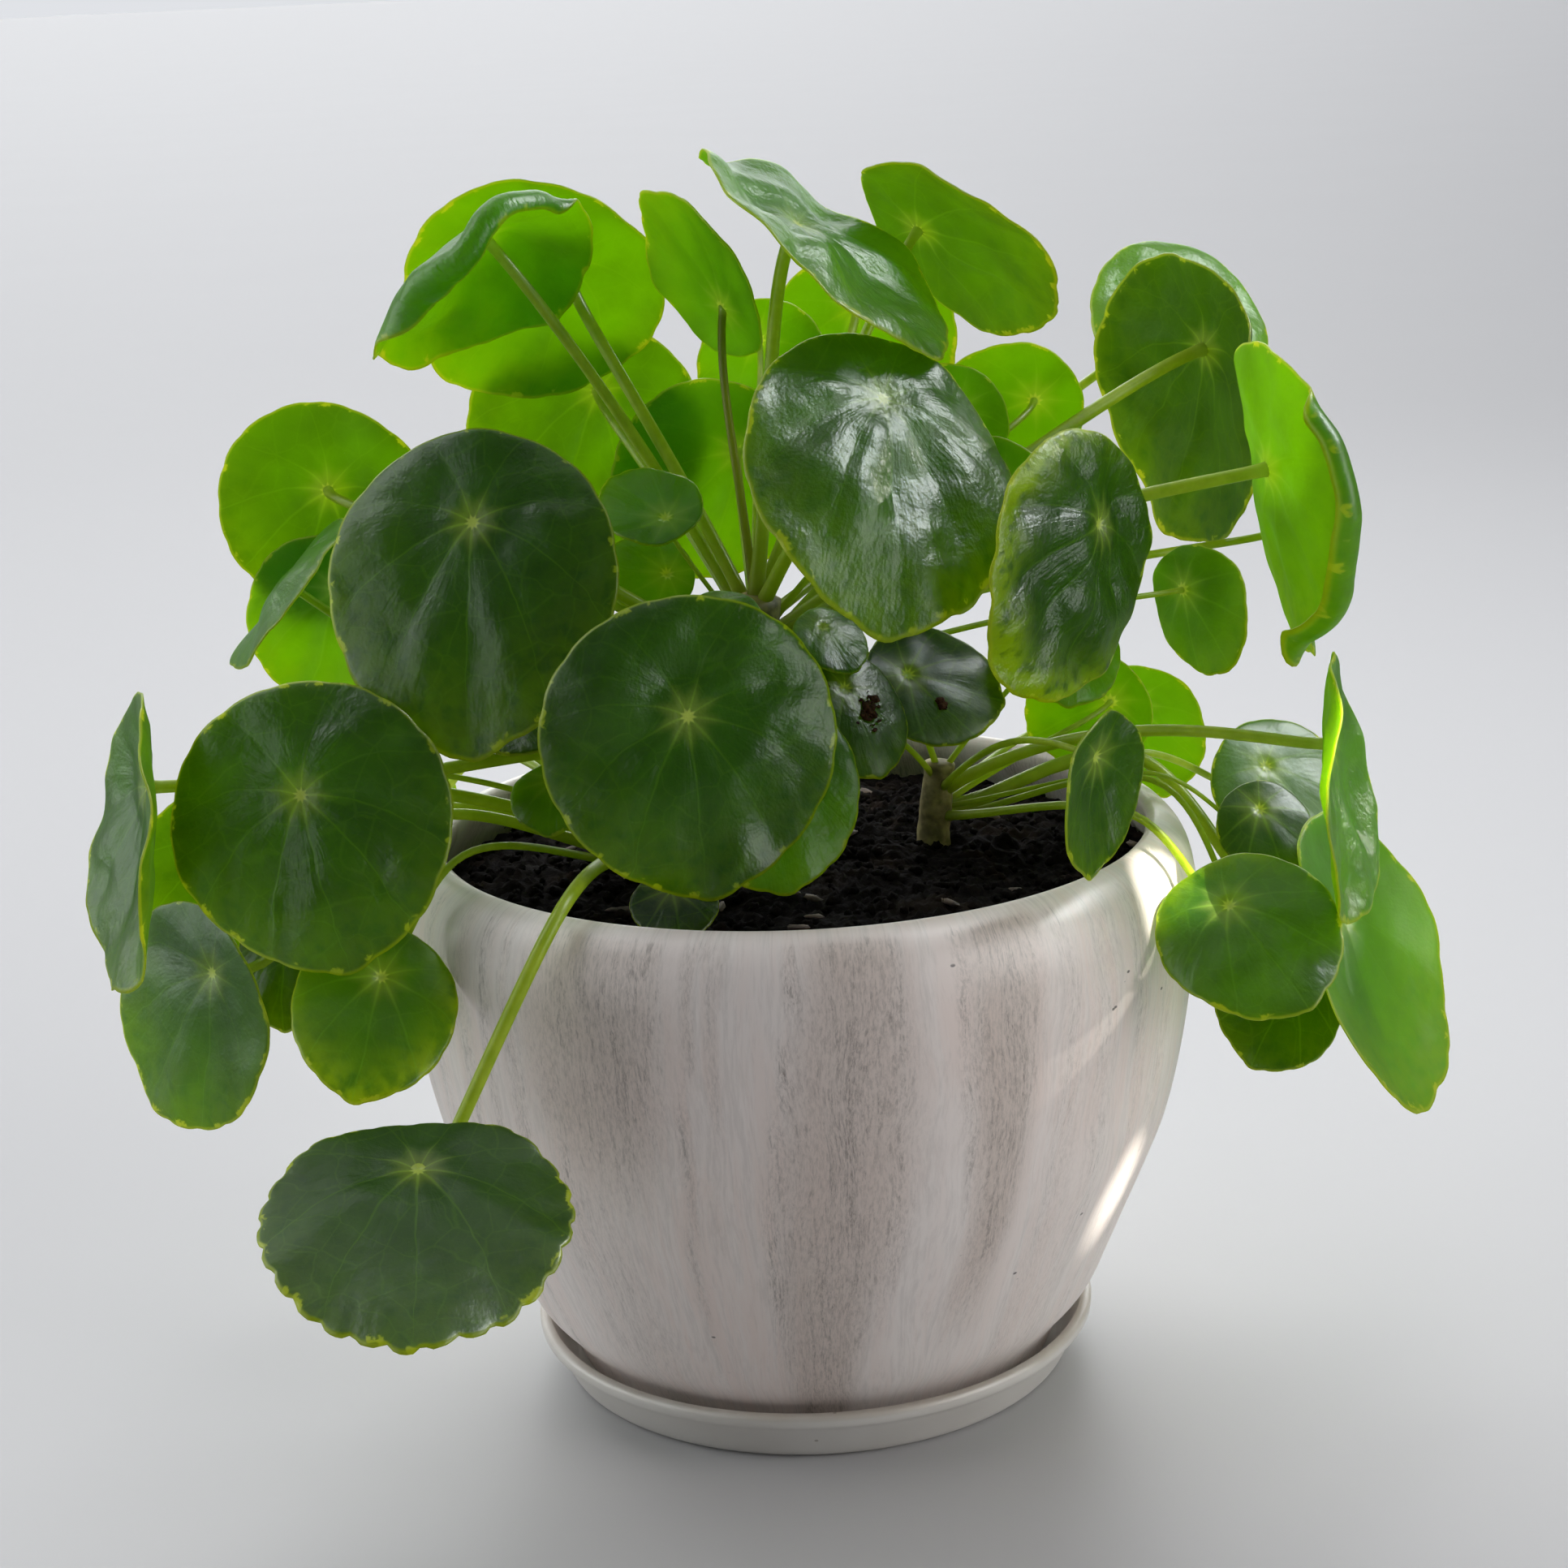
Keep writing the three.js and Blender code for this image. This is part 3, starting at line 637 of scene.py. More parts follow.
soil_edge = MOUTH + 5.2
wall_profile = [(r - 2 * GAP, z + GAP) for r, z in POT_INSIDE[7:2:-1]] + [(soil_edge, 121)]
wall_grid, soil_angle = turned_surface(wall_profile, SOIL_SIDES)
radii = np.linspace(soil_edge - 0.8, 1.2, SOIL_RINGS)[:, None]
angles = np.broadcast_to(soil_angle, (SOIL_RINGS, SOIL_SIDES))
x, y = radii * np.sin(angles), -radii * np.cos(angles)
top = soil_height(radii, np.arctan2(y, x)) + crumble(np.stack([x, y], -1))
top -= 2.5 * np.clip((radii - 80) / 9, 0, 1)
soil_grid = np.vstack([wall_grid, np.stack([x, y, top], -1)])
soil_points = np.vstack([soil_grid.reshape(-1, 3), [[0, 0, wall_profile[0][1]], [0, 0, top[-1].mean()]]])

soil_finish, g = new_finish("potting_soil")
grain = g.noise(g.place(), 420.0, 6.0, 0.7)
patch = g.noise(g.place(), 75.0, 3.0)
earth = g.blend(g.step(grain, 0.3, 0.72), (0.0015, 0.001, 0.0008), (0.010, 0.007, 0.005))
earth = g.blend(g.step(patch, 0.52, 0.7), earth, (0.018, 0.011, 0.007))
g.dress(Base_Color=earth, Roughness=0.95, Specular_IOR_Level=0.04, Normal=g.bump(grain, 0.0012, 0.9))
make_piece("soil_surface", "potting_soil", soil_points, capped(len(soil_grid), SOIL_SIDES), [soil_finish], "soil")
print("soil top from", round(float(top.min()), 1), "to", round(float(top.max()), 1), "mm")

# %% Crumbs and bark
CRUMB_ROWS, CRUMB_SIDES = 5, 8


def swung(a, b, angle):
    """Two coordinates turned by an angle about the third axis."""
    return a * np.cos(angle) - b * np.sin(angle), a * np.sin(angle) + b * np.cos(angle)


def pebbles(centres, sizes, flatness):
    """Many small stones: spheres of few points, pushed in and out at random, flattened and turned."""
    count = len(centres)
    tall = np.linspace(0, np.pi, CRUMB_ROWS + 2)[1:-1, None]
    round_it = TURN * np.arange(CRUMB_SIDES) / CRUMB_SIDES
    ball = np.stack(np.broadcast_arrays(np.sin(tall) * np.cos(round_it), np.sin(tall) * np.sin(round_it),
                                        np.cos(tall)), -1).reshape(-1, 3)
    ball = np.vstack([ball, [[0, 0, 1], [0, 0, -1]]])
    pushed = ball * draw.uniform(0.65, 1.2, (count, len(ball), 1)) * flatness * sizes[:, None, None]
    spin, lean = draw.uniform(0, TURN, (count, 1)), draw.uniform(-0.5, 0.5, (count, 1))
    x, y, z = np.moveaxis(pushed, -1, 0)
    y, z = swung(y, z, lean)
    x, y = swung(x, y, spin)
    points = np.stack([x, y, z], -1) + centres[:, None]
    offsets = (np.arange(count) * len(ball))[:, None, None]
    faces = [(block[:, ::-1] + offsets).reshape(-1, block.shape[1]) for block in capped(CRUMB_ROWS, CRUMB_SIDES)]
    return points.reshape(-1, 3), faces


def stones(name, count, sizes, flatness, finish, sink=0.3):
    """A piece of many loose bits at random places on the soil, sunk by a share of their size."""
    radius = (MOUTH - 1) * np.sqrt(draw.uniform(0.02, 1, count))
    angle = draw.uniform(0, TURN, count)
    centres = np.stack([radius * np.cos(angle), radius * np.sin(angle), soil_height(radius, angle) + sink], -1)
    points, faces = pebbles(centres, draw.uniform(*sizes, count), np.array(flatness))
    print(name, make_piece(name, "potting_soil", points, faces, [finish]), "triangles")


bark_finish, g = new_finish("bark_bits")
grain = g.noise(g.place(1, 4, 4), 160.0, 4.0, 0.6)
wood = g.blend(g.step(grain, 0.3, 0.7), (0.04, 0.024, 0.014), (0.16, 0.10, 0.06))
g.dress(Base_Color=wood, Roughness=0.8, Normal=g.bump(grain, 0.0006, 0.8))
stones("soil_crumbs", 900, (0.7, 2.1), (1, 0.85, 0.75), soil_finish)
stones("bark_bits", 34, (0.8, 2.2), (1.7, 0.6, 0.4), bark_finish, 0.9)

# %% [markdown]
# ## The leaves' measurements
#
# Each leaf has a hub, a direction that its upper face looks in, a width and a curl, and it hangs on a
# stalk from one of the three stems. These are the CAD model's own driving dimensions. The rim is a
# broad egg with a short beak, and the blade is a dome or a cup with a gently waved rim.

# %% Leaf table
STEMS = {
    "mother": dict(foot=(-8, 2), depth=104, top=(-7, 0, 194), radius=7),
    "right": dict(foot=(34, 4), depth=112, top=(36, 3, 150), radius=4.5),
    "left": dict(foot=(-38, -12), depth=112, top=(-39, -12, 142), radius=4.5),
}
STALK = dict(share=0.03, neck=5, neck_share=0.1, bend=0.45, over_lip=4, hang=150)
BLADE = dict(thickness=0.95, long=1.06, set=0.3, beak=0.03, beak_spread=0.22, egg=0.06)
WAVE = dict(height=0.015, count=5)
PHASE = 2.4
TITLES = ("name", "hub", "faces", "tip", "width", "curl", "stem", "root", "lift")
# What most leaves have, and a row may change. set and long: where the hub lies and how much longer than
# wide the blade is. sway and lean: how the stalk swings aside and leans at the blade. scallop and teeth:
# the depth and number of the rim's scallops. crinkle: the depth of the fine relief. fold: see rolled().
# light, yellow and red: shares of fresh green, of yellow at the rim on the side fade_from, and of a red
# stalk. The fresh green is 0 on some leaves in shade, which paints shade. The yellow is real yellowing,
# and on right_front and right_low a painted patch of sunlight. glow: how much light comes through,
# lowered on leaves in shade as painted shade and raised on the sunlit far_right_low as painted light.
USUAL = dict(set=BLADE["set"], long=BLADE["long"], sway=(0, 0), lean=0, light=0.1, yellow=0.3, fade_from=0,
             glow=1.0, scallop=0.012, teeth=17, crinkle=1.0, red=0.0, fold=None)
# name, hub, (heading, rise) of the upper face, tip's swing, width, (curl along, across), stem, height
# of the stalk's root, how far it arches, and what is the leaf's own.
LEAF_ROWS = [
    ("crown_left", (-66, 5, 280), (-135, 50), 10, 58, (-6, -12), "mother", 183, 0,
     dict(set=0.36, sway=(2, 28), lean=4, glow=0.95, light=1.0, crinkle=1.5,
          fold=(128, 0.74, 3.9, 140, 1.5, 90))),
    ("crown_left_back", (-50, 35, 272), (180, 32), 42, 64, (-3, -1), "mother", 186, 6, dict(long=1)),
    ("crown_spear", (-11, 12, 261), (122, 22), 162, 42, (-2, -2), "mother", 190, 0,
     dict(lean=14, red=1.0, light=0.3)),
    ("crown_blade", (7, -3, 280.5), (75, 52), -16, 68, (-3, 3), "mother", 192, 0, dict(set=0.37, crinkle=1.3)),
    ("crown_right", (37, 38, 275), (132, 39), -82, 56, (-4, -5), "mother", 190, 4, dict(set=0.25, glow=0.75)),
    ("front_right", (24, -35, 244), (35, 38), -18, 67, (-7, -5), "mother", 188, 4,
     dict(set=0.25, yellow=0.55, glow=0.65, light=0.0, crinkle=1.15)),
    # right_front's strong yellow on its left margin is a painted strip of sunlight.
    ("right_front", (71, -38, 214), (50, 2), -47, 58.5, (-4, -3), "mother", 176, 8,
     dict(light=0.0, yellow=3.0, fade_from=-43, glow=0.45, crinkle=1.8)),
    ("front_left", (-69, -36, 220.5), (-10, 28), 0, 67, (-5, -3), "mother", 170, 10,
     dict(long=1.09, yellow=0.45, glow=0.45, light=0.0, crinkle=0.7)),
    ("front_middle", (-22, -68, 181.5), (8, 10), 3, 65.5, (-4, -5), "mother", 157, 23,
     dict(set=0.4, long=1, sway=(2, -3), yellow=0.35, glow=0.55, light=0.0)),
    ("left_front", (-109, -58, 165), (-8, 16), 14, 65, (-4, -4), "mother", 160, 6,
     dict(set=0.39, long=0.99, sway=(3, -2), glow=0.55, light=0.0, crinkle=1.1)),
    ("left_front_small", (-94.2, -60, 122.6), (15, 42), -20, 36.9, (-2, -1), "left", 132, 2,
     dict(long=1.12, light=0.6, yellow=1.2, fade_from=30, glow=0.6, crinkle=0.4)),
    ("low_front", (-82, -112, 97.5), (12, 72), -8, 65, (-3, -1), "left", 136, -2,
     dict(set=0.25, long=1, lean=10, sway=(10, -12), light=0.0, yellow=0.2, scallop=0.03, teeth=26,
          crinkle=0.5, glow=0.4)),
    ("far_left", (-148.5, -34, 162), (-66, 8), 39, 64.5, (6, 8), "left", 136, 16, dict(glow=0.65)),
    ("left_low", (-142.5, -12, 109), (-40, 8), -35, 55.5, (-2, -2), "left", 134, 2,
     dict(set=0.22, glow=0.55, light=0.5, crinkle=0.6)),
    ("left_behind", (-140, 15, 135), (-170, 10), 22, 42, (-2, -2), "left", 136, 2, dict(light=0.4, glow=0.62)),
    ("left_under", (-126.5, 5, 114), (-34, 25), 8, 33, (-2, -2), "left", 136, 2, dict(glow=0.4, light=0.4)),
    ("left_back", (-113, 45, 216), (180, 5), 22, 53, (-3, -3), "mother", 172, 10,
     dict(set=0.42, long=1, glow=0.75)),
    ("left_edge", (-120, 10, 200), (-86, 41), 90, 44, (-2, -2), "left", 140, 4),
    ("left_low_back", (-112, 38, 192), (165, 5), 20, 43, (-2, -2), "mother", 158, 10),
    ("back_left", (-45, 60, 236), (178, 7), 22, 60, (-2, -2), "mother", 182, 6, dict(glow=0.8)),
    ("back_middle", (-10, 52, 220), (174, 3), 47, 50, (-2, -2), "mother", 180, 6),
    ("back_gap_middle", (-4, 68, 246), (189, 10), -8, 34, (-2, -2), "mother", 182, 13, dict(sway=(-1, -5))),
    ("back_gap_right", (22, 88, 251), (182, 12), -9, 50, (-2, -2), "mother", 184, 6),
    ("inner_left", (-27, -5, 214), (-3, 56), -131, 24, (1, 1), "mother", 178, 2),
    ("inner_left_low", (-28, 8, 198), (19, 41), -105, 22, (-1, -1), "mother", 166, 2),
    ("inner_young_left", (-15, -18, 195), (5, 62), 10, 18, (-1, -1), "mother", 172, 2),
    ("inner_young_right", (8.5, -18, 189), (25, 52), 15, 18, (-1, -1), "mother", 172, 2),
    ("inner_front_right", (13, -26, 176), (29, 39), 5, 29, (-3, -3), "right", 144, 6,
     dict(glow=0.5, crinkle=0.9)),
    ("inner_dark", (28.5, -6, 174), (19, 41), 68, 32.5, (-2, -3), "right", 146, 2,
     dict(glow=0.35, light=0.0, crinkle=0.4)),
    ("front_middle_back", (-8, -46, 168), (9, 32), 7, 44, (-3, -3), "mother", 146, 6, dict(light=0.5)),
    ("right_front_small", (66, -70, 169), (53, -10), -14, 34, (4, 4), "right", 142, 14, dict(glow=0.55)),
    ("right_sunlit", (114.5, -6, 219.5), (102, 9), 0, 70, (2, 9), "mother", 180, 14,
     dict(set=0.4, light=0.6, yellow=0.4, glow=0.9, fold=(-67, 0.87, 3.2, 140, 2.1, 70), crinkle=0.7)),
    ("right_sunlit_back", (128, 56, 192.5), (90, 13), -30, 44, (-1, -2), "mother", 176, 10, dict(sway=(0, 4))),
    ("right_back", (110, 62, 239.5), (115, 10), 25, 71.5, (-4, -8), "mother", 181, 6,
     dict(long=1.09, sway=(5, -1), glow=0.55)),
    ("right_back_high", (115, 118, 247.5), (30, 40), -40, 52.5, (-6, -4), "mother", 186, -2,
     dict(sway=(1, 20), light=0.2)),
    ("back_right_dark", (65, 52, 230), (174, 19), 71, 38, (-3, -3), "mother", 178, 8, dict(sway=(-1, 8))),
    ("back_right_yellow", (43, 20, 233), (182, 15), 41, 34, (-2, -2), "mother", 182, 4),
    ("inner_right", (53, 6, 216), (164, 10), 33, 36, (-2, -2), "mother", 178, 4),
    ("right_round", (101, 40, 182), (128, 1), -43, 32, (-1, 2), "mother", 168, 10, dict(glow=0.8)),
    ("right_far_high", (91, 66, 146), (156, 9), -17, 35, (-1, -1), "right", 141, 2, dict(sway=(-5, 6))),
    ("right_far_low", (80, 24, 158), (161, 11), 64, 31, (-1, -1), "right", 138, 2),
    ("right_cluster_high", (120, 32, 137), (21, 38), 27, 39, (-2, -2), "right", 138, 2,
     dict(light=0.3, glow=0.6, crinkle=0.4)),
    ("right_cluster_round", (113, 0, 135), (7, 40), 13, 24, (-2, -2), "right", 138, 2,
     dict(glow=0.45, crinkle=0.4)),
    ("right_blade", (123, -38, 161), (70, 5), -48, 59.5, (3.5, 6.5), "right", 142, 20, dict(long=1.05)),
    # far_right_low's raised glow paints the sunlight that comes through it.
    ("far_right_low", (131, -12, 111.5), (58, 20), -13, 67.5, (7, 7), "right", 136, 2,
     dict(long=1.09, set=0.34, sway=(-4, 19), light=0.5, yellow=0.5, crinkle=0.3, glow=1.15)),
    # right_low's yellow at its upper left paints a patch of sunlight, beside the real light of the sun_leaf lamp.
    ("right_low", (97, -55, 129), (-15, 52), 38, 41, (-3, -1), "right", 136, 2,
     dict(light=0.0, yellow=0.9, fade_from=190, glow=0.75, crinkle=0.6)),
    ("right_low_behind", (118, -15, 96), (20, 39), -42, 32, (-2, -2), "right", 135, 2,
     dict(glow=0.45, light=0.8)),
    ("inner_right_low", (68, 4, 182), (25, 40), -20, 28, (-2, -2), "right", 146, 4),
    # inner_left_dark's low glow and lack of fresh green paint the shade it lies in.
    ("inner_left_dark", (-65, -18, 174), (10, 73), 19, 30, (-1, -1), "mother", 150, 4, dict(glow=0.3, light=0.0)),
    ("soil_left", (-55, -30, 158), (-6, 58), 0, 20, (-1, -1), "left", 138, 2),
    ("left_front_behind", (-98, -30, 168), (-8, 57), 10, 30, (-3, -3), "left", 137, 10),
    # soil_front's very low glow and lack of fresh green paint the deep shade it lies in.
    ("soil_front", (-28, -58, 139), (8, 66), 0, 20, (-1, -1), "left", 134, 4, dict(glow=0.1, light=0.0)),
    ("back_low", (-34, 132, 84), (188, 62), 5, 60, (-3, -2), "left", 138, 3),
    ("back_low_left", (-114, 92, 124), (-145, 30), -8, 46, (-3, -2), "left", 140, 4),
]
LEAVES = [{**USUAL, **dict(zip(TITLES, row)), **dict(*row[len(TITLES):])} for row in LEAF_ROWS]
widths = [leaf["width"] for leaf in LEAVES]
print("leaves:", len(LEAVES), "widths", min(widths), "to", max(widths), "mm")

# %% [markdown]
# ## Blades
#
# A blade is a grid of rings round its hub. The two parameters are the share of the way from hub to
# rim and the angle round the hub. On top of the CAD form come the furrows over the main veins, the
# soft swellings between them and small scallops at the rim. The same surface, moved half a thickness
# either way, gives the upper and lower faces, which join in a rounded rim.

# %% Blade formulas
BLADE_GRID, SMALL_GRID = (40, 144), (24, 96)
SMALL_BLADE = 38
VEINS = 9
VEIN_BEND = 0.9
USUAL_WIDTH = 62


def blade_axes(leaf):
    """Out of the upper face, towards the tip, and across."""
    heading, rise, swing = np.radians([*leaf["faces"], leaf["tip"]])
    out = np.array([np.sin(heading) * np.cos(rise), -np.cos(heading) * np.cos(rise), np.sin(rise)])
    down = np.array([np.sin(heading) * np.sin(rise), -np.cos(heading) * np.sin(rise), -np.cos(rise)])
    along = np.cos(swing) * down + np.sin(swing) * np.cross(out, down)
    return out, along, np.cross(out, along)


def rim_point(leaf, angle):
    """The rim seen from above, with the hub at the origin: a broad egg with a short beak."""
    beak = BLADE["beak"] * np.exp(-((angle / BLADE["beak_spread"]) ** 2))
    along = leaf["width"] * leaf["long"] * (0.5 - leaf["set"] + 0.5 * np.cos(angle) + beak)
    across = 0.5 * leaf["width"] * np.sin(angle) * (1 - BLADE["egg"] * np.cos(angle))
    return along, across


def blade_height(leaf, along, across, reach, angle, phase):
    """The middle surface over the hub: a dome or cup along and across, and a waved rim."""
    curl_along, curl_across = leaf["curl"]
    cup = (curl_along * (along / (0.6 * leaf["width"] * leaf["long"])) ** 2
           + curl_across * (across / (0.5 * leaf["width"])) ** 2)
    return cup + WAVE["height"] * leaf["width"] * reach**2 * np.sin(WAVE["count"] * angle + phase)


def from_vein(along, across, width):
    """How far round from the nearest main vein (0 on it, 0.5 midway), and the distance from the hub.

    The veins leave the hub evenly and bend towards the tip.
    """
    radius = np.hypot(along, across)
    angle = np.arctan2(across, along)
    turn = (angle + VEIN_BEND * radius / width * np.sin(angle)) * VEINS / TURN
    return np.abs(turn - np.round(turn)), radius


def fine_relief(leaf, along, across, reach, source):
    """Furrows over the main veins, swellings between them, a dimple at the hub and a crinkled rim."""
    width = leaf["width"]
    off, radius = from_vein(along, across, width)
    strength = leaf["crinkle"] * width / 65
    furrow = -0.14 * np.exp(-((off * TURN / VEINS * radius / 1.4) ** 2)) * np.clip(radius / 7, 0, 1)
    pillow = 0.7 * np.sin(np.pi * off) ** 1.5 * np.clip((radius - 8) / 16, 0, 1) * (1 - reach**9)
    flat = np.stack([along, across], -1)
    swell = waves(flat, (30, 17, 9), (0.75, 0.4, 0.12), source=source) * np.clip(radius / 9, 0, 1)
    dimple = -0.9 * np.exp(-((radius / (0.05 * width)) ** 2))
    return strength * (furrow * (1 - 0.6 * reach) + pillow + swell) + dimple


def rolled(leaf, along, across, height, reach):
    """The margin on one side rolled under: past a share of the way to the rim it is wound round a rod.

    fold gives the middle direction of the rolled side (degrees from the tip), the share where the roll
    starts, the rod's radius, how far round it goes, how much longer the rolled margin is than the flat
    one, and how many degrees to either side the roll runs out. Towards its ends the rod gets wider
    without limit, which leaves the sheet flat there.
    """
    heading, first, radius, most, longer, spread = leaf["fold"]
    distance = np.hypot(along, across)
    away = np.arctan2(across, along) - np.radians(heading)
    edge = np.cos(np.radians(spread))
    side = np.clip(2.2 * (np.cos(away) - edge) / (1 - edge), 0, 1)
    side = side * side * (3 - 2 * side)
    kept = np.minimum(first / reach, 1)
    start, base = distance * kept, height * kept**2
    beyond = (distance - start) * (1 + (longer - 1) * side)
    rod = radius / np.maximum(side, 0.02)
    wound = np.clip(beyond / rod, 0, np.radians(most))
    straight = np.maximum(beyond - rod * np.radians(most), 0)
    slope = np.arctan2(2 * base, start)
    turned = wound - slope
    there = start + rod * (np.sin(turned) + np.sin(slope)) + straight * np.cos(turned)
    rolled_height = base - rod * (np.cos(slope) - np.cos(turned)) - straight * np.sin(turned)
    share = np.where(reach > first, np.clip(8 * side, 0, 1), 0)
    moved = 1 + share * (there / np.maximum(distance, 1e-6) - 1)
    return along * moved, across * moved, height + share * (rolled_height - height)


# %% [markdown]
# Each blade also carries three vectors at every point, for its finish: the place on the flat blade in
# millimetres with a number that tells blades apart, the tone (way to the rim, yellowing that on two leaves
# is a painted patch of sunlight, fresh green), and how much light comes through the leaf, lowered on
# shaded leaves as painted shade, and how it crinkles.

# %% One blade
BLADE_SEED = 500
BLADES_APART = 37.0


def both_faces(at_grid, at_hub):
    """An attribute's three numbers at the grid and the hub, given for the upper face and then the lower."""
    values = np.stack(np.broadcast_arrays(*at_grid), -1).reshape(-1, 3)
    return np.tile(np.vstack([values, at_hub]), (2, 1))


def blade(leaf, index):
    """Points, faces, material numbers and attributes of one blade."""
    source = np.random.default_rng(BLADE_SEED + index)
    rings, sides = SMALL_GRID if leaf["width"] < SMALL_BLADE else BLADE_GRID
    reach = (np.arange(1, rings + 1) / rings)[:, None] ** 0.9
    angle = TURN * (np.arange(sides) / sides - 0.5)[None, :]
    rim_along, rim_across = rim_point(leaf, angle)
    scallop = 1 - leaf["scallop"] * reach**12 * (0.5 + 0.5 * np.cos(leaf["teeth"] * angle + index)) ** 3
    along, across = rim_along * reach * scallop, rim_across * reach * scallop
    height = blade_height(leaf, along, across, reach, angle, PHASE * index)
    height = height + fine_relief(leaf, along, across, reach, source)
    out, towards_tip, sideways = blade_axes(leaf)
    x, y, z = rolled(leaf, along, across, height, reach) if leaf["fold"] else (along, across, height)
    middle = np.array(leaf["hub"]) + x[..., None] * towards_tip + y[..., None] * sideways + z[..., None] * out
    normal = unit(np.cross(np.gradient(middle, axis=0), np.roll(middle, -1, 1) - np.roll(middle, 1, 1)))
    half = 0.5 * BLADE["thickness"] * np.sqrt(np.clip(1 - 0.86 * reach**26, 0, 1))[..., None]
    hub = np.array(leaf["hub"]) + out * fine_relief(leaf, np.zeros(1), np.zeros(1), 0, source)[0]
    upper, lower = ((middle + side * half * normal).reshape(-1, 3) for side in (1, -1))
    points = np.vstack([upper, hub + out * half[0], lower, hub - out * half[0]])

    hub_number = rings * sides
    under = hub_number + 1
    ring = np.arange(sides)
    quads, middle_fan = grid_quads(rings, sides), fan(hub_number, ring)
    edge = hub_number - sides + ring
    after = np.roll(edge, -1)
    rim = np.stack([edge + under, after + under, after, edge], 1)
    faces = [quads[:, ::-1], quads + under, rim, middle_fan, middle_fan[:, ::-1] + under]
    finish_of = np.repeat([0, 1, 0, 0, 1], [len(block) for block in faces])

    # The yellow at the rim on the side fade_from is real yellowing, and on right_front and right_low a painted
    # patch of sunlight.
    toward = 0.5 + 0.5 * np.cos(np.arctan2(across, along) - np.radians(leaf["fade_from"]))
    yellow = leaf["yellow"] * np.clip((reach - 0.35) / 0.65, 0, 1) ** (1 + leaf["yellow"]) * toward**1.5
    apart = BLADES_APART * index
    return points, faces, finish_of, {
        "blade": both_faces((along, across, apart), (0, 0, apart)),
        "tone": both_faces((reach, yellow, leaf["light"]), (0, 0, leaf["light"])),
        "glow_shade_crinkle": np.tile([leaf["glow"], leaf["crinkle"], 0.0], (len(points), 1)),
    }


# %% [markdown]
# ## Leaf finishes
#
# A leaf's upper side is dark green and waxy, its underside paler and dull. Light also goes through
# it, so each side mixes a surface with a translucent shader. The veins are drawn from the place on
# the blade in millimetres: rays from the hub, then a net of cells between them, finer and fainter.

# %% Vein pattern
veins, g, spot = new_effect("leaf veins", "Blade", "Rays", "Net", "Fine net", "Hub", "Relief")
along, across, seed = g.split(spot)
radius = g.math("SQRT", along * along + across * across)
angle = g.math("ARCTAN2", across, along)
forward = g.math("COSINE", angle)
wobble = g.noise(spot, 0.09, 2.0)
bent = angle + radius * (VEIN_BEND / USUAL_WIDTH) * g.math("SINE", angle) + (wobble - 0.5) * 0.16
turn = bent * (VEINS / TURN)
off = g.math("ABSOLUTE", turn - g.math("ROUND", turn))
slim = (0.42 - radius * 0.007) * (0.72 + forward * 0.28)
rays = g.step(off * (TURN / VEINS) * radius, slim * 1.6, slim * 0.25)
main = 0.42 + g.step(forward, -0.2, 0.7) * 0.3
net = g.cells(g.joined(along + wobble * 7.0, across + wobble * -6.0, seed), 0.105)
fine_net = g.cells(spot, 0.36)
near_hub = g.step(radius, 2.0, 8.0)
starry = radius * (0.75 + off * 0.9)
puffs = g.step(net, 0.0, 0.4) * 0.45 + fine_net * 0.1
crinkled = g.noise(spot, 0.26, 2.0) * g.patches(spot, 0.05, 1.0, 0.45, 0.65)
spokes = g.joined(g.math("COSINE", bent) * 5.0, g.math("SINE", bent) * 5.0, radius * 0.05 + seed)
wrinkles = g.noise(spokes, 1.0, 3.0, 0.6) * g.step(radius, 3.0, 14.0)
g.add("NodeGroupOutput",
      Rays=rays * g.math("MAXIMUM", g.step(radius, 18.0, 2.0), main),
      Net=g.step(net, 0.03, 0.008) * near_hub,
      Fine_net=g.step(fine_net, 0.06, 0.015) * near_hub,
      Hub=g.math("MAXIMUM", g.step(starry, 2.1, 1.0), g.step(starry, 7.5, 1.5) * 0.3),
      Relief=puffs + crinkled + wrinkles * 1.7)

# %% Upper and lower sides
GLOW = (0.50, 0.84, 0.0)
THROUGH_SHARE = 0.62


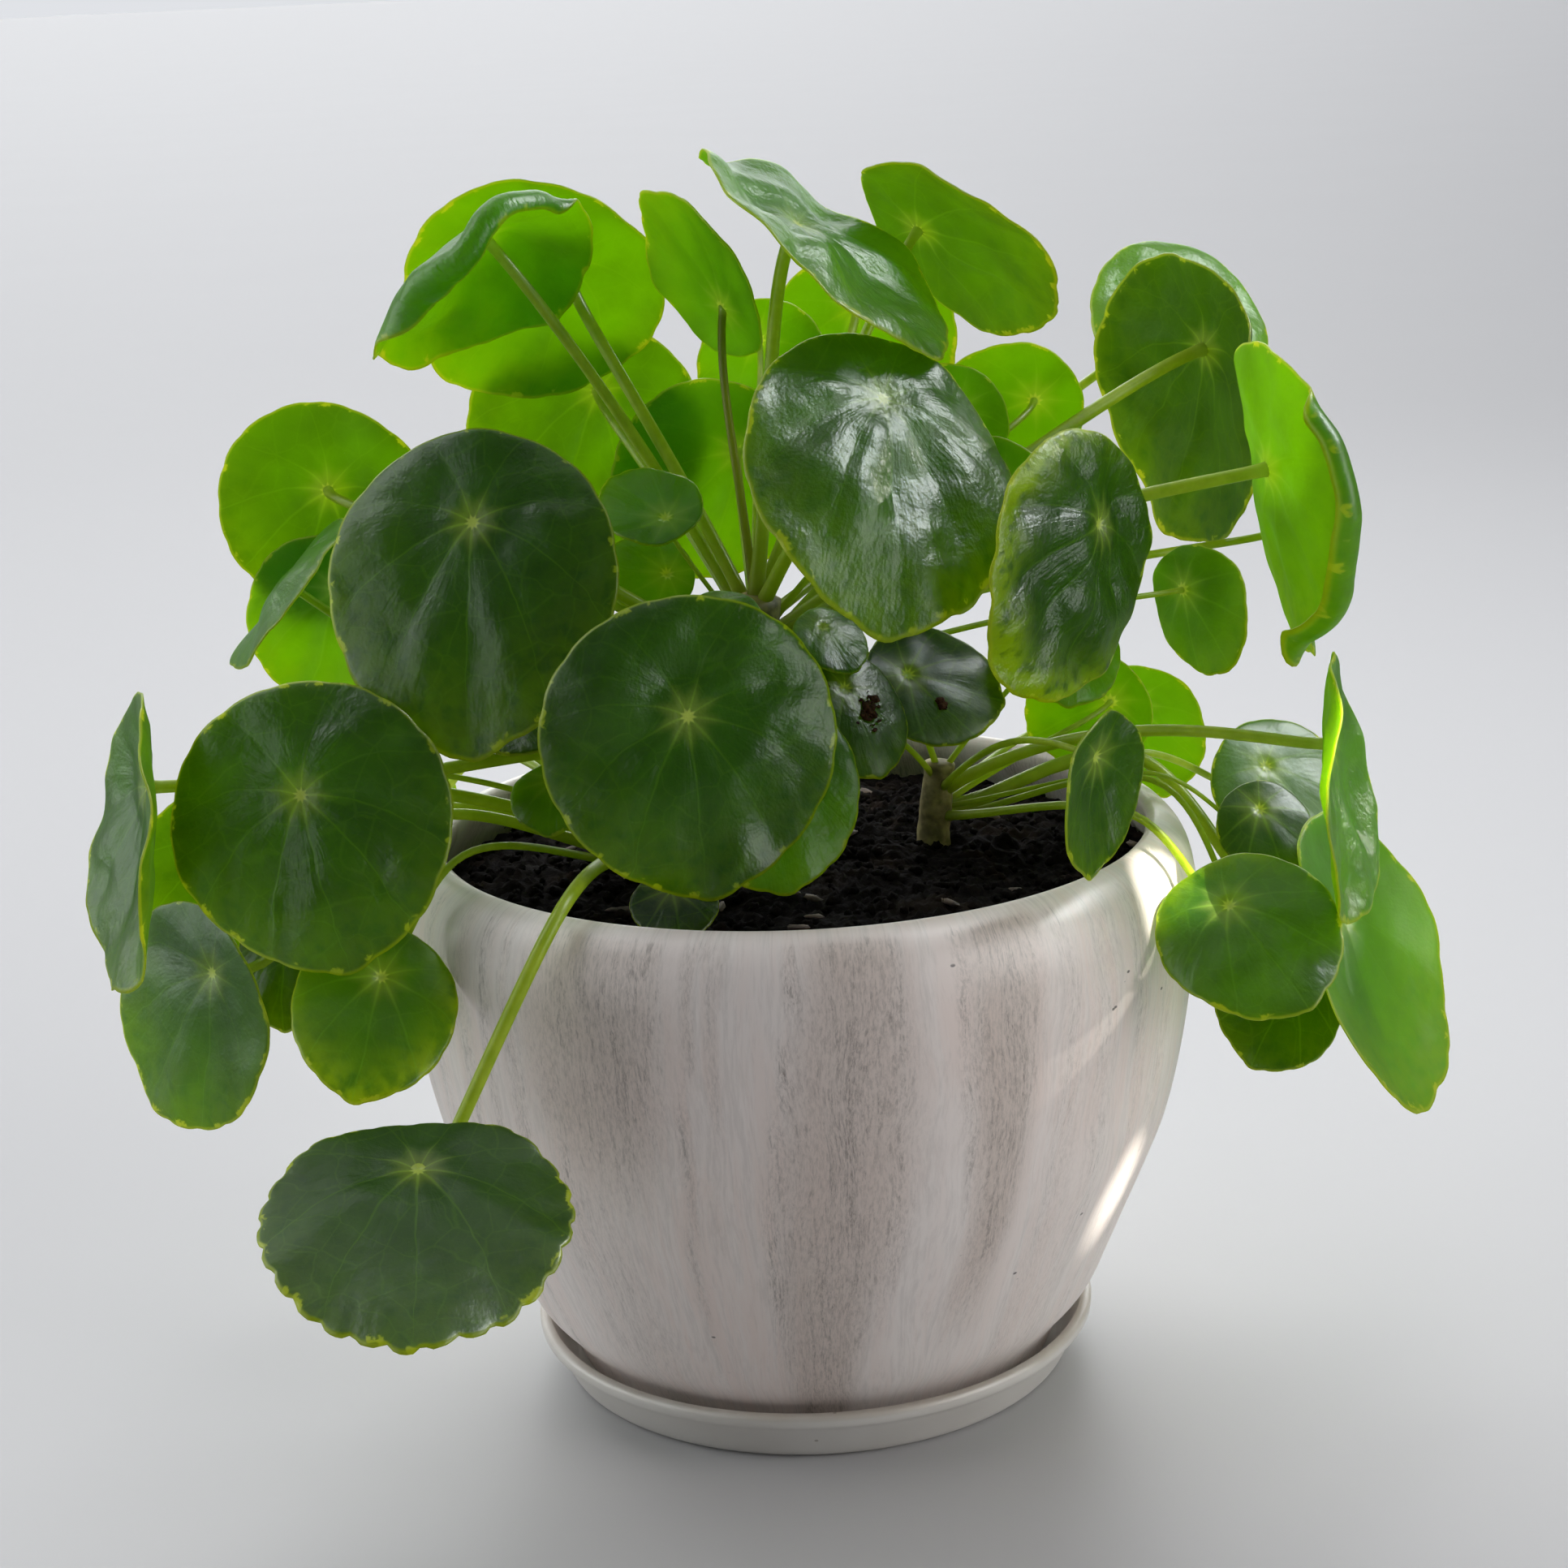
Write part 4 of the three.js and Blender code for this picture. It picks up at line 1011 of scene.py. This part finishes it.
def leaf_finish(name, deep, fresh, yellow, vein, vein_glow, roughness, shine, relief, net_share):
    """One side of a leaf: colour from deep to fresh green, yellower margins (on some leaves a painted patch of
    sunlight), veins, flecks and light that comes through (lowered on shaded leaves as painted shade).
    """
    material, g = new_finish(name)
    place = g.attribute("blade")
    marks = g.effect(veins, place)
    reach, yellowing_and_sun, light = g.split(g.attribute("tone"))
    glow, crinkle, _ = g.split(g.attribute("glow_shade_crinkle"))
    # The fresh green: a leaf's own share of it is 0 on some leaves in shade, which paints shade.
    lighter = g.math("ADD", g.patches(place, 0.11, 3.0, 0.3, 0.75) * 0.5, light, clamp=True)
    # The yellow patch is real yellowing, and on right_front and right_low a painted patch of sunlight, in both
    # the surface colour and the light that comes through.
    yellow_and_sun_patch = g.math("MULTIPLY", yellowing_and_sun, g.patches(place, 0.28, 3.0, 0.2, 0.62), clamp=True)
    lines = g.math("MAXIMUM", marks["Net"] * net_share + marks["Fine net"] * 0.07, marks["Rays"] * 0.7)
    ragged = reach + g.noise(place, 1.3, 2.0) * 0.06
    fleck = g.step(ragged, 0.98, 1.0) * g.patches(place, 0.24, 1.0, 0.58, 0.64)
    margin = g.math("MAXIMUM", g.step(reach, 0.972, 0.992) * 0.75, fleck)
    dust = g.step(g.cells(place, 0.55, "F1"), 0.1, 0.06) * g.patches(place, 0.21, 1.0, 0.5, 0.6)
    green = g.blend(lighter, deep, fresh)
    for share, colour in ((yellow_and_sun_patch, yellow), (lines, vein), (marks["Hub"], (0.78, 0.92, 0.22)),
                          (margin, (0.38, 0.50, 0.01)), (dust * 0.5, (0.3, 0.36, 0.15))):
        green = g.blend(share, green, colour)
    leather = g.noise(place, 1.5, 3.0) * 0.42 + g.noise(place, 0.33, 2.0) * 1.3
    normal = g.bump(crinkle * (marks["Relief"] + leather), relief)
    # How much light comes through, mottled: lowered on leaves in shade as painted shade, raised on a sunlit one
    # as painted light.
    mottled = glow * (0.72 + g.noise(place, 0.07, 3.0) * 0.56)
    lit = g.blend(mottled, (0.0, 0.0, 0.0), g.blend(lighter, GLOW, [1.12 * c for c in GLOW]))
    for share, colour in ((yellow_and_sun_patch, (0.80, 0.95, 0.0)), (lines * 0.7, vein_glow),
                          (g.math("MAXIMUM", margin, marks["Hub"]), (0.96, 1.0, 0.12))):
        lit = g.blend(share, lit, colour)
    g.dress((THROUGH_SHARE, g.node("ShaderNodeBsdfTranslucent", Color=lit, Normal=normal)), Base_Color=green,
            Roughness=roughness + g.noise(place, 0.5, 2.0) * 0.1, Specular_IOR_Level=shine, Normal=normal)
    return material


upper_finish = leaf_finish("leaf_upper", (0.014, 0.075, 0.0), (0.035, 0.14, 0.0), (0.16, 0.27, 0.0),
                           (0.10, 0.25, 0.01), (0.60, 0.90, 0.04), 0.29, 0.55, 0.0002, 0.2)
under_finish = leaf_finish("leaf_under", (0.04, 0.15, 0.0), (0.09, 0.25, 0.0), (0.25, 0.36, 0.0),
                           (0.16, 0.33, 0.02), (0.60, 0.88, 0.0), 0.5, 0.15, 0.00016, 0.16)

# %% Leaf pieces
total = 0
for index, leaf in enumerate(LEAVES):
    points, faces, finish_of, attributes = blade(leaf, index)
    total += make_piece("blade_" + leaf["name"], "leaf", points, faces, [upper_finish, under_finish],
                        "leaf_" + leaf["name"], finish_of, **attributes)
print("blades:", len(LEAVES), "with", total, "triangles")

# %% [markdown]
# A little reddish soil was spilt on two of the inner leaves. The crumbs lie in loose heaps on their
# upper faces, each heap scattered round a place on the blade given in millimetres from its hub.

# %% Crumbs that lie on two leaves
# Leaf, place along and across its blade, spread of the heap and number of crumbs.
HEAPS = [("inner_front_right", 7, 3, 1.7, 46), ("inner_front_right", 4, 5, 0.9, 16),
         ("inner_front_right", -1, -5, 1.2, 7), ("inner_dark", 9, -6, 0.7, 14)]


def on_blade(name, along, across, spread, count):
    """Places on a leaf's upper face, round one point of it."""
    leaf = next(leaf for leaf in LEAVES if leaf["name"] == name)
    out, towards_tip, sideways = blade_axes(leaf)
    x = along + draw.normal(0, spread, count)
    y = across + draw.normal(0, spread * 0.8, count)
    z = blade_height(leaf, x, y, np.hypot(x, y) / (0.5 * leaf["width"]), np.arctan2(y, x), 0.0) + 0.7
    return np.array(leaf["hub"]) + x[:, None] * towards_tip + y[:, None] * sideways + z[:, None] * out


crumb_finish, g = new_finish("spilt_crumbs")
grain = g.noise(g.place(), 900.0, 4.0, 0.7)
earth = g.blend(g.step(grain, 0.3, 0.7), (0.03, 0.011, 0.005), (0.13, 0.055, 0.03))
g.dress(Base_Color=earth, Roughness=0.95, Specular_IOR_Level=0.05, Normal=g.bump(grain, 0.0004, 0.9))
spilt = np.vstack([on_blade(*heap) for heap in HEAPS])
points, faces = pebbles(spilt, draw.gamma(2.2, 0.2, len(spilt)) + 0.12, np.array((1.2, 0.8, 0.7)))
make_piece("spilt_crumbs", "potting_soil", points, faces, [crumb_finish])
print("spilt crumbs:", len(spilt))

# %% [markdown]
# ## Stems and stalks
#
# A stalk grows from its stem, arches over and comes up to its blade from below. A stalk whose blade
# hangs outside the pot goes over the pot's lip. It is thicker at its root and flares a little where
# it meets the blade. Each stem and its stalks are one piece, as they grew.

# %% Stem formulas
COLLAR = 6
STEM_TAPER = 0.15
STEM_STEPS, STEM_SIDES = 60, 28
STALK_STEPS, STALK_SIDES = 40, 14


def stem_axis_at(stem, height):
    """The point on a stem's axis at a height."""
    rise = np.clip((height - SOIL["edge"]) / (stem["top"][2] - SOIL["edge"]), 0, 1)
    foot, top = np.array([*stem["foot"], height]), np.array([*stem["top"][:2], height])
    return foot + rise * (top - foot)


def lip_crossing(root, hub, radius):
    """Where the stalk lies on the pot's lip, on the straight way from its root to its hub."""
    reach = MOUTH + STALK["over_lip"]
    step = (hub - root)[:2]
    square = step @ step
    half = root[:2] @ step / square
    share = -half + np.sqrt(half**2 + (reach**2 - root[:2] @ root[:2]) / square)
    return np.array([*(root[:2] + share * step), TOP + STALK["over_lip"] + radius])


def stalk_line(leaf):
    """Points along a stalk's axis, from inside the stem to inside the blade."""
    out, along, _ = blade_axes(leaf)
    root = stem_axis_at(STEMS[leaf["stem"]], leaf["root"])
    hub = np.array(leaf["hub"], float)
    radius = STALK["share"] * leaf["width"]
    reach = STALK["neck"] + STALK["neck_share"] * np.linalg.norm(hub - root)
    neck = hub - reach * out - leaf["lean"] * along
    end = hub - 0.55 * out
    arch = np.array([*leaf["sway"], leaf["lift"]])
    if neck[2] < STALK["hang"] and np.hypot(*hub[:2]) > POT["belly"]:
        line = through([root, lip_crossing(root, hub, radius) + arch, neck, end], 16)
    else:
        line = bezier([root, root + STALK["bend"] * (hub - root) + arch, neck, end])
    return evenly(line, STALK_STEPS)


def stalk_radii(leaf, share):
    """Thicker at the root, slim in the middle, flared at the blade."""
    swell = 0.3 * np.exp(-share / 0.08) + 0.12 * np.exp((share - 1) / 0.012)
    return STALK["share"] * leaf["width"] * (0.84 - 0.08 * share + swell)


def stem_tube(stem, source):
    """The woody stem itself, with the rings of old leaf scars."""
    foot = np.array([*stem["foot"], 0])
    corners = [(*stem["foot"], stem["depth"]), (*stem["foot"], SOIL["edge"] + COLLAR), stem["top"]]
    line = evenly(through(corners), STEM_STEPS)
    share = np.linspace(0, 1, STEM_STEPS + 1)
    scars = 0.05 * np.maximum(0, np.sin(line[:, 2] / 1.45 + 1.3 * np.sin(line[:, 2] / 5))) ** 2
    radii = stem["radius"] * (1 - STEM_TAPER * share) * (0.97 + scars)
    radii[-1] *= 0.55
    points, quads, ends = tube(line, radii, STEM_SIDES)
    lumps = waves(points, (9, 4), (0.22, 0.12), source=source)
    return points + unit((points - foot) * [1, 1, 0] + 1e-6) * lumps[:, None], quads, ends


# %% [markdown]
# A stalk is pale green and a little glossy. It is browner near its root, and the stem is brown and
# corky. How far a point is along its stalk is stored on the mesh, so that one finish does it all.

# %% Stem finish and pieces
STEM_SEED = 90

stalk_finish, g = new_finish("stalk")
share, red, woody = g.split(g.attribute("growth"))
speckle = g.noise(g.place(), 240.0, 3.0, 0.6)
skin = g.blend(g.step(speckle, 0.3, 0.75), (0.34, 0.47, 0.02), (0.52, 0.63, 0.05))
corky = g.blend(g.patches(g.place(), 320.0, 4.0, 0.35, 0.65), (0.17, 0.135, 0.04), (0.36, 0.29, 0.10))
for part, colour in ((g.step(share, 0.3, 0.02) * 0.5, (0.30, 0.25, 0.05)), (red * 0.8, (0.17, 0.075, 0.03)),
                     (g.step(share, 0.955, 0.995), (0.62, 0.72, 0.12)), (woody, corky)):
    skin = g.blend(part, skin, colour)
g.dress((0.42 - woody * 0.42, g.node("ShaderNodeBsdfTranslucent", Color=(0.72, 0.88, 0.05))), Base_Color=skin,
        Roughness=0.36 + woody * 0.35, Specular_IOR_Level=0.3, Normal=g.bump(speckle, 0.0003, 0.5))

share = np.linspace(0, 1, STALK_STEPS + 1)
along_stalk = np.append(np.repeat(share, STALK_SIDES), [0, 1])[:, None]
for number, (name, stem) in enumerate(STEMS.items()):
    leaves = [leaf for leaf in LEAVES if leaf["stem"] == name]
    tubes = [stem_tube(stem, np.random.default_rng(STEM_SEED + number))]
    tubes += [tube(stalk_line(leaf), stalk_radii(leaf, share), STALK_SIDES) for leaf in leaves]
    points = np.vstack([part[0] for part in tubes])
    starts = np.cumsum([0] + [len(part[0]) for part in tubes])
    faces = [np.vstack([part[kind] + start for part, start in zip(tubes, starts)]) for kind in (1, 2)]
    growth = [np.tile([0.0, 0.0, 1.0], (len(tubes[0][0]), 1))]
    growth += [along_stalk * [1, 0, 0] + [0, leaf["red"], 0] for leaf in leaves]
    make_piece("stalks_" + name, "stalk", points, faces, [stalk_finish], "stem_" + name,
               growth=np.vstack(growth))
    print("stalks_" + name, len(leaves), "stalks,", len(points), "points")
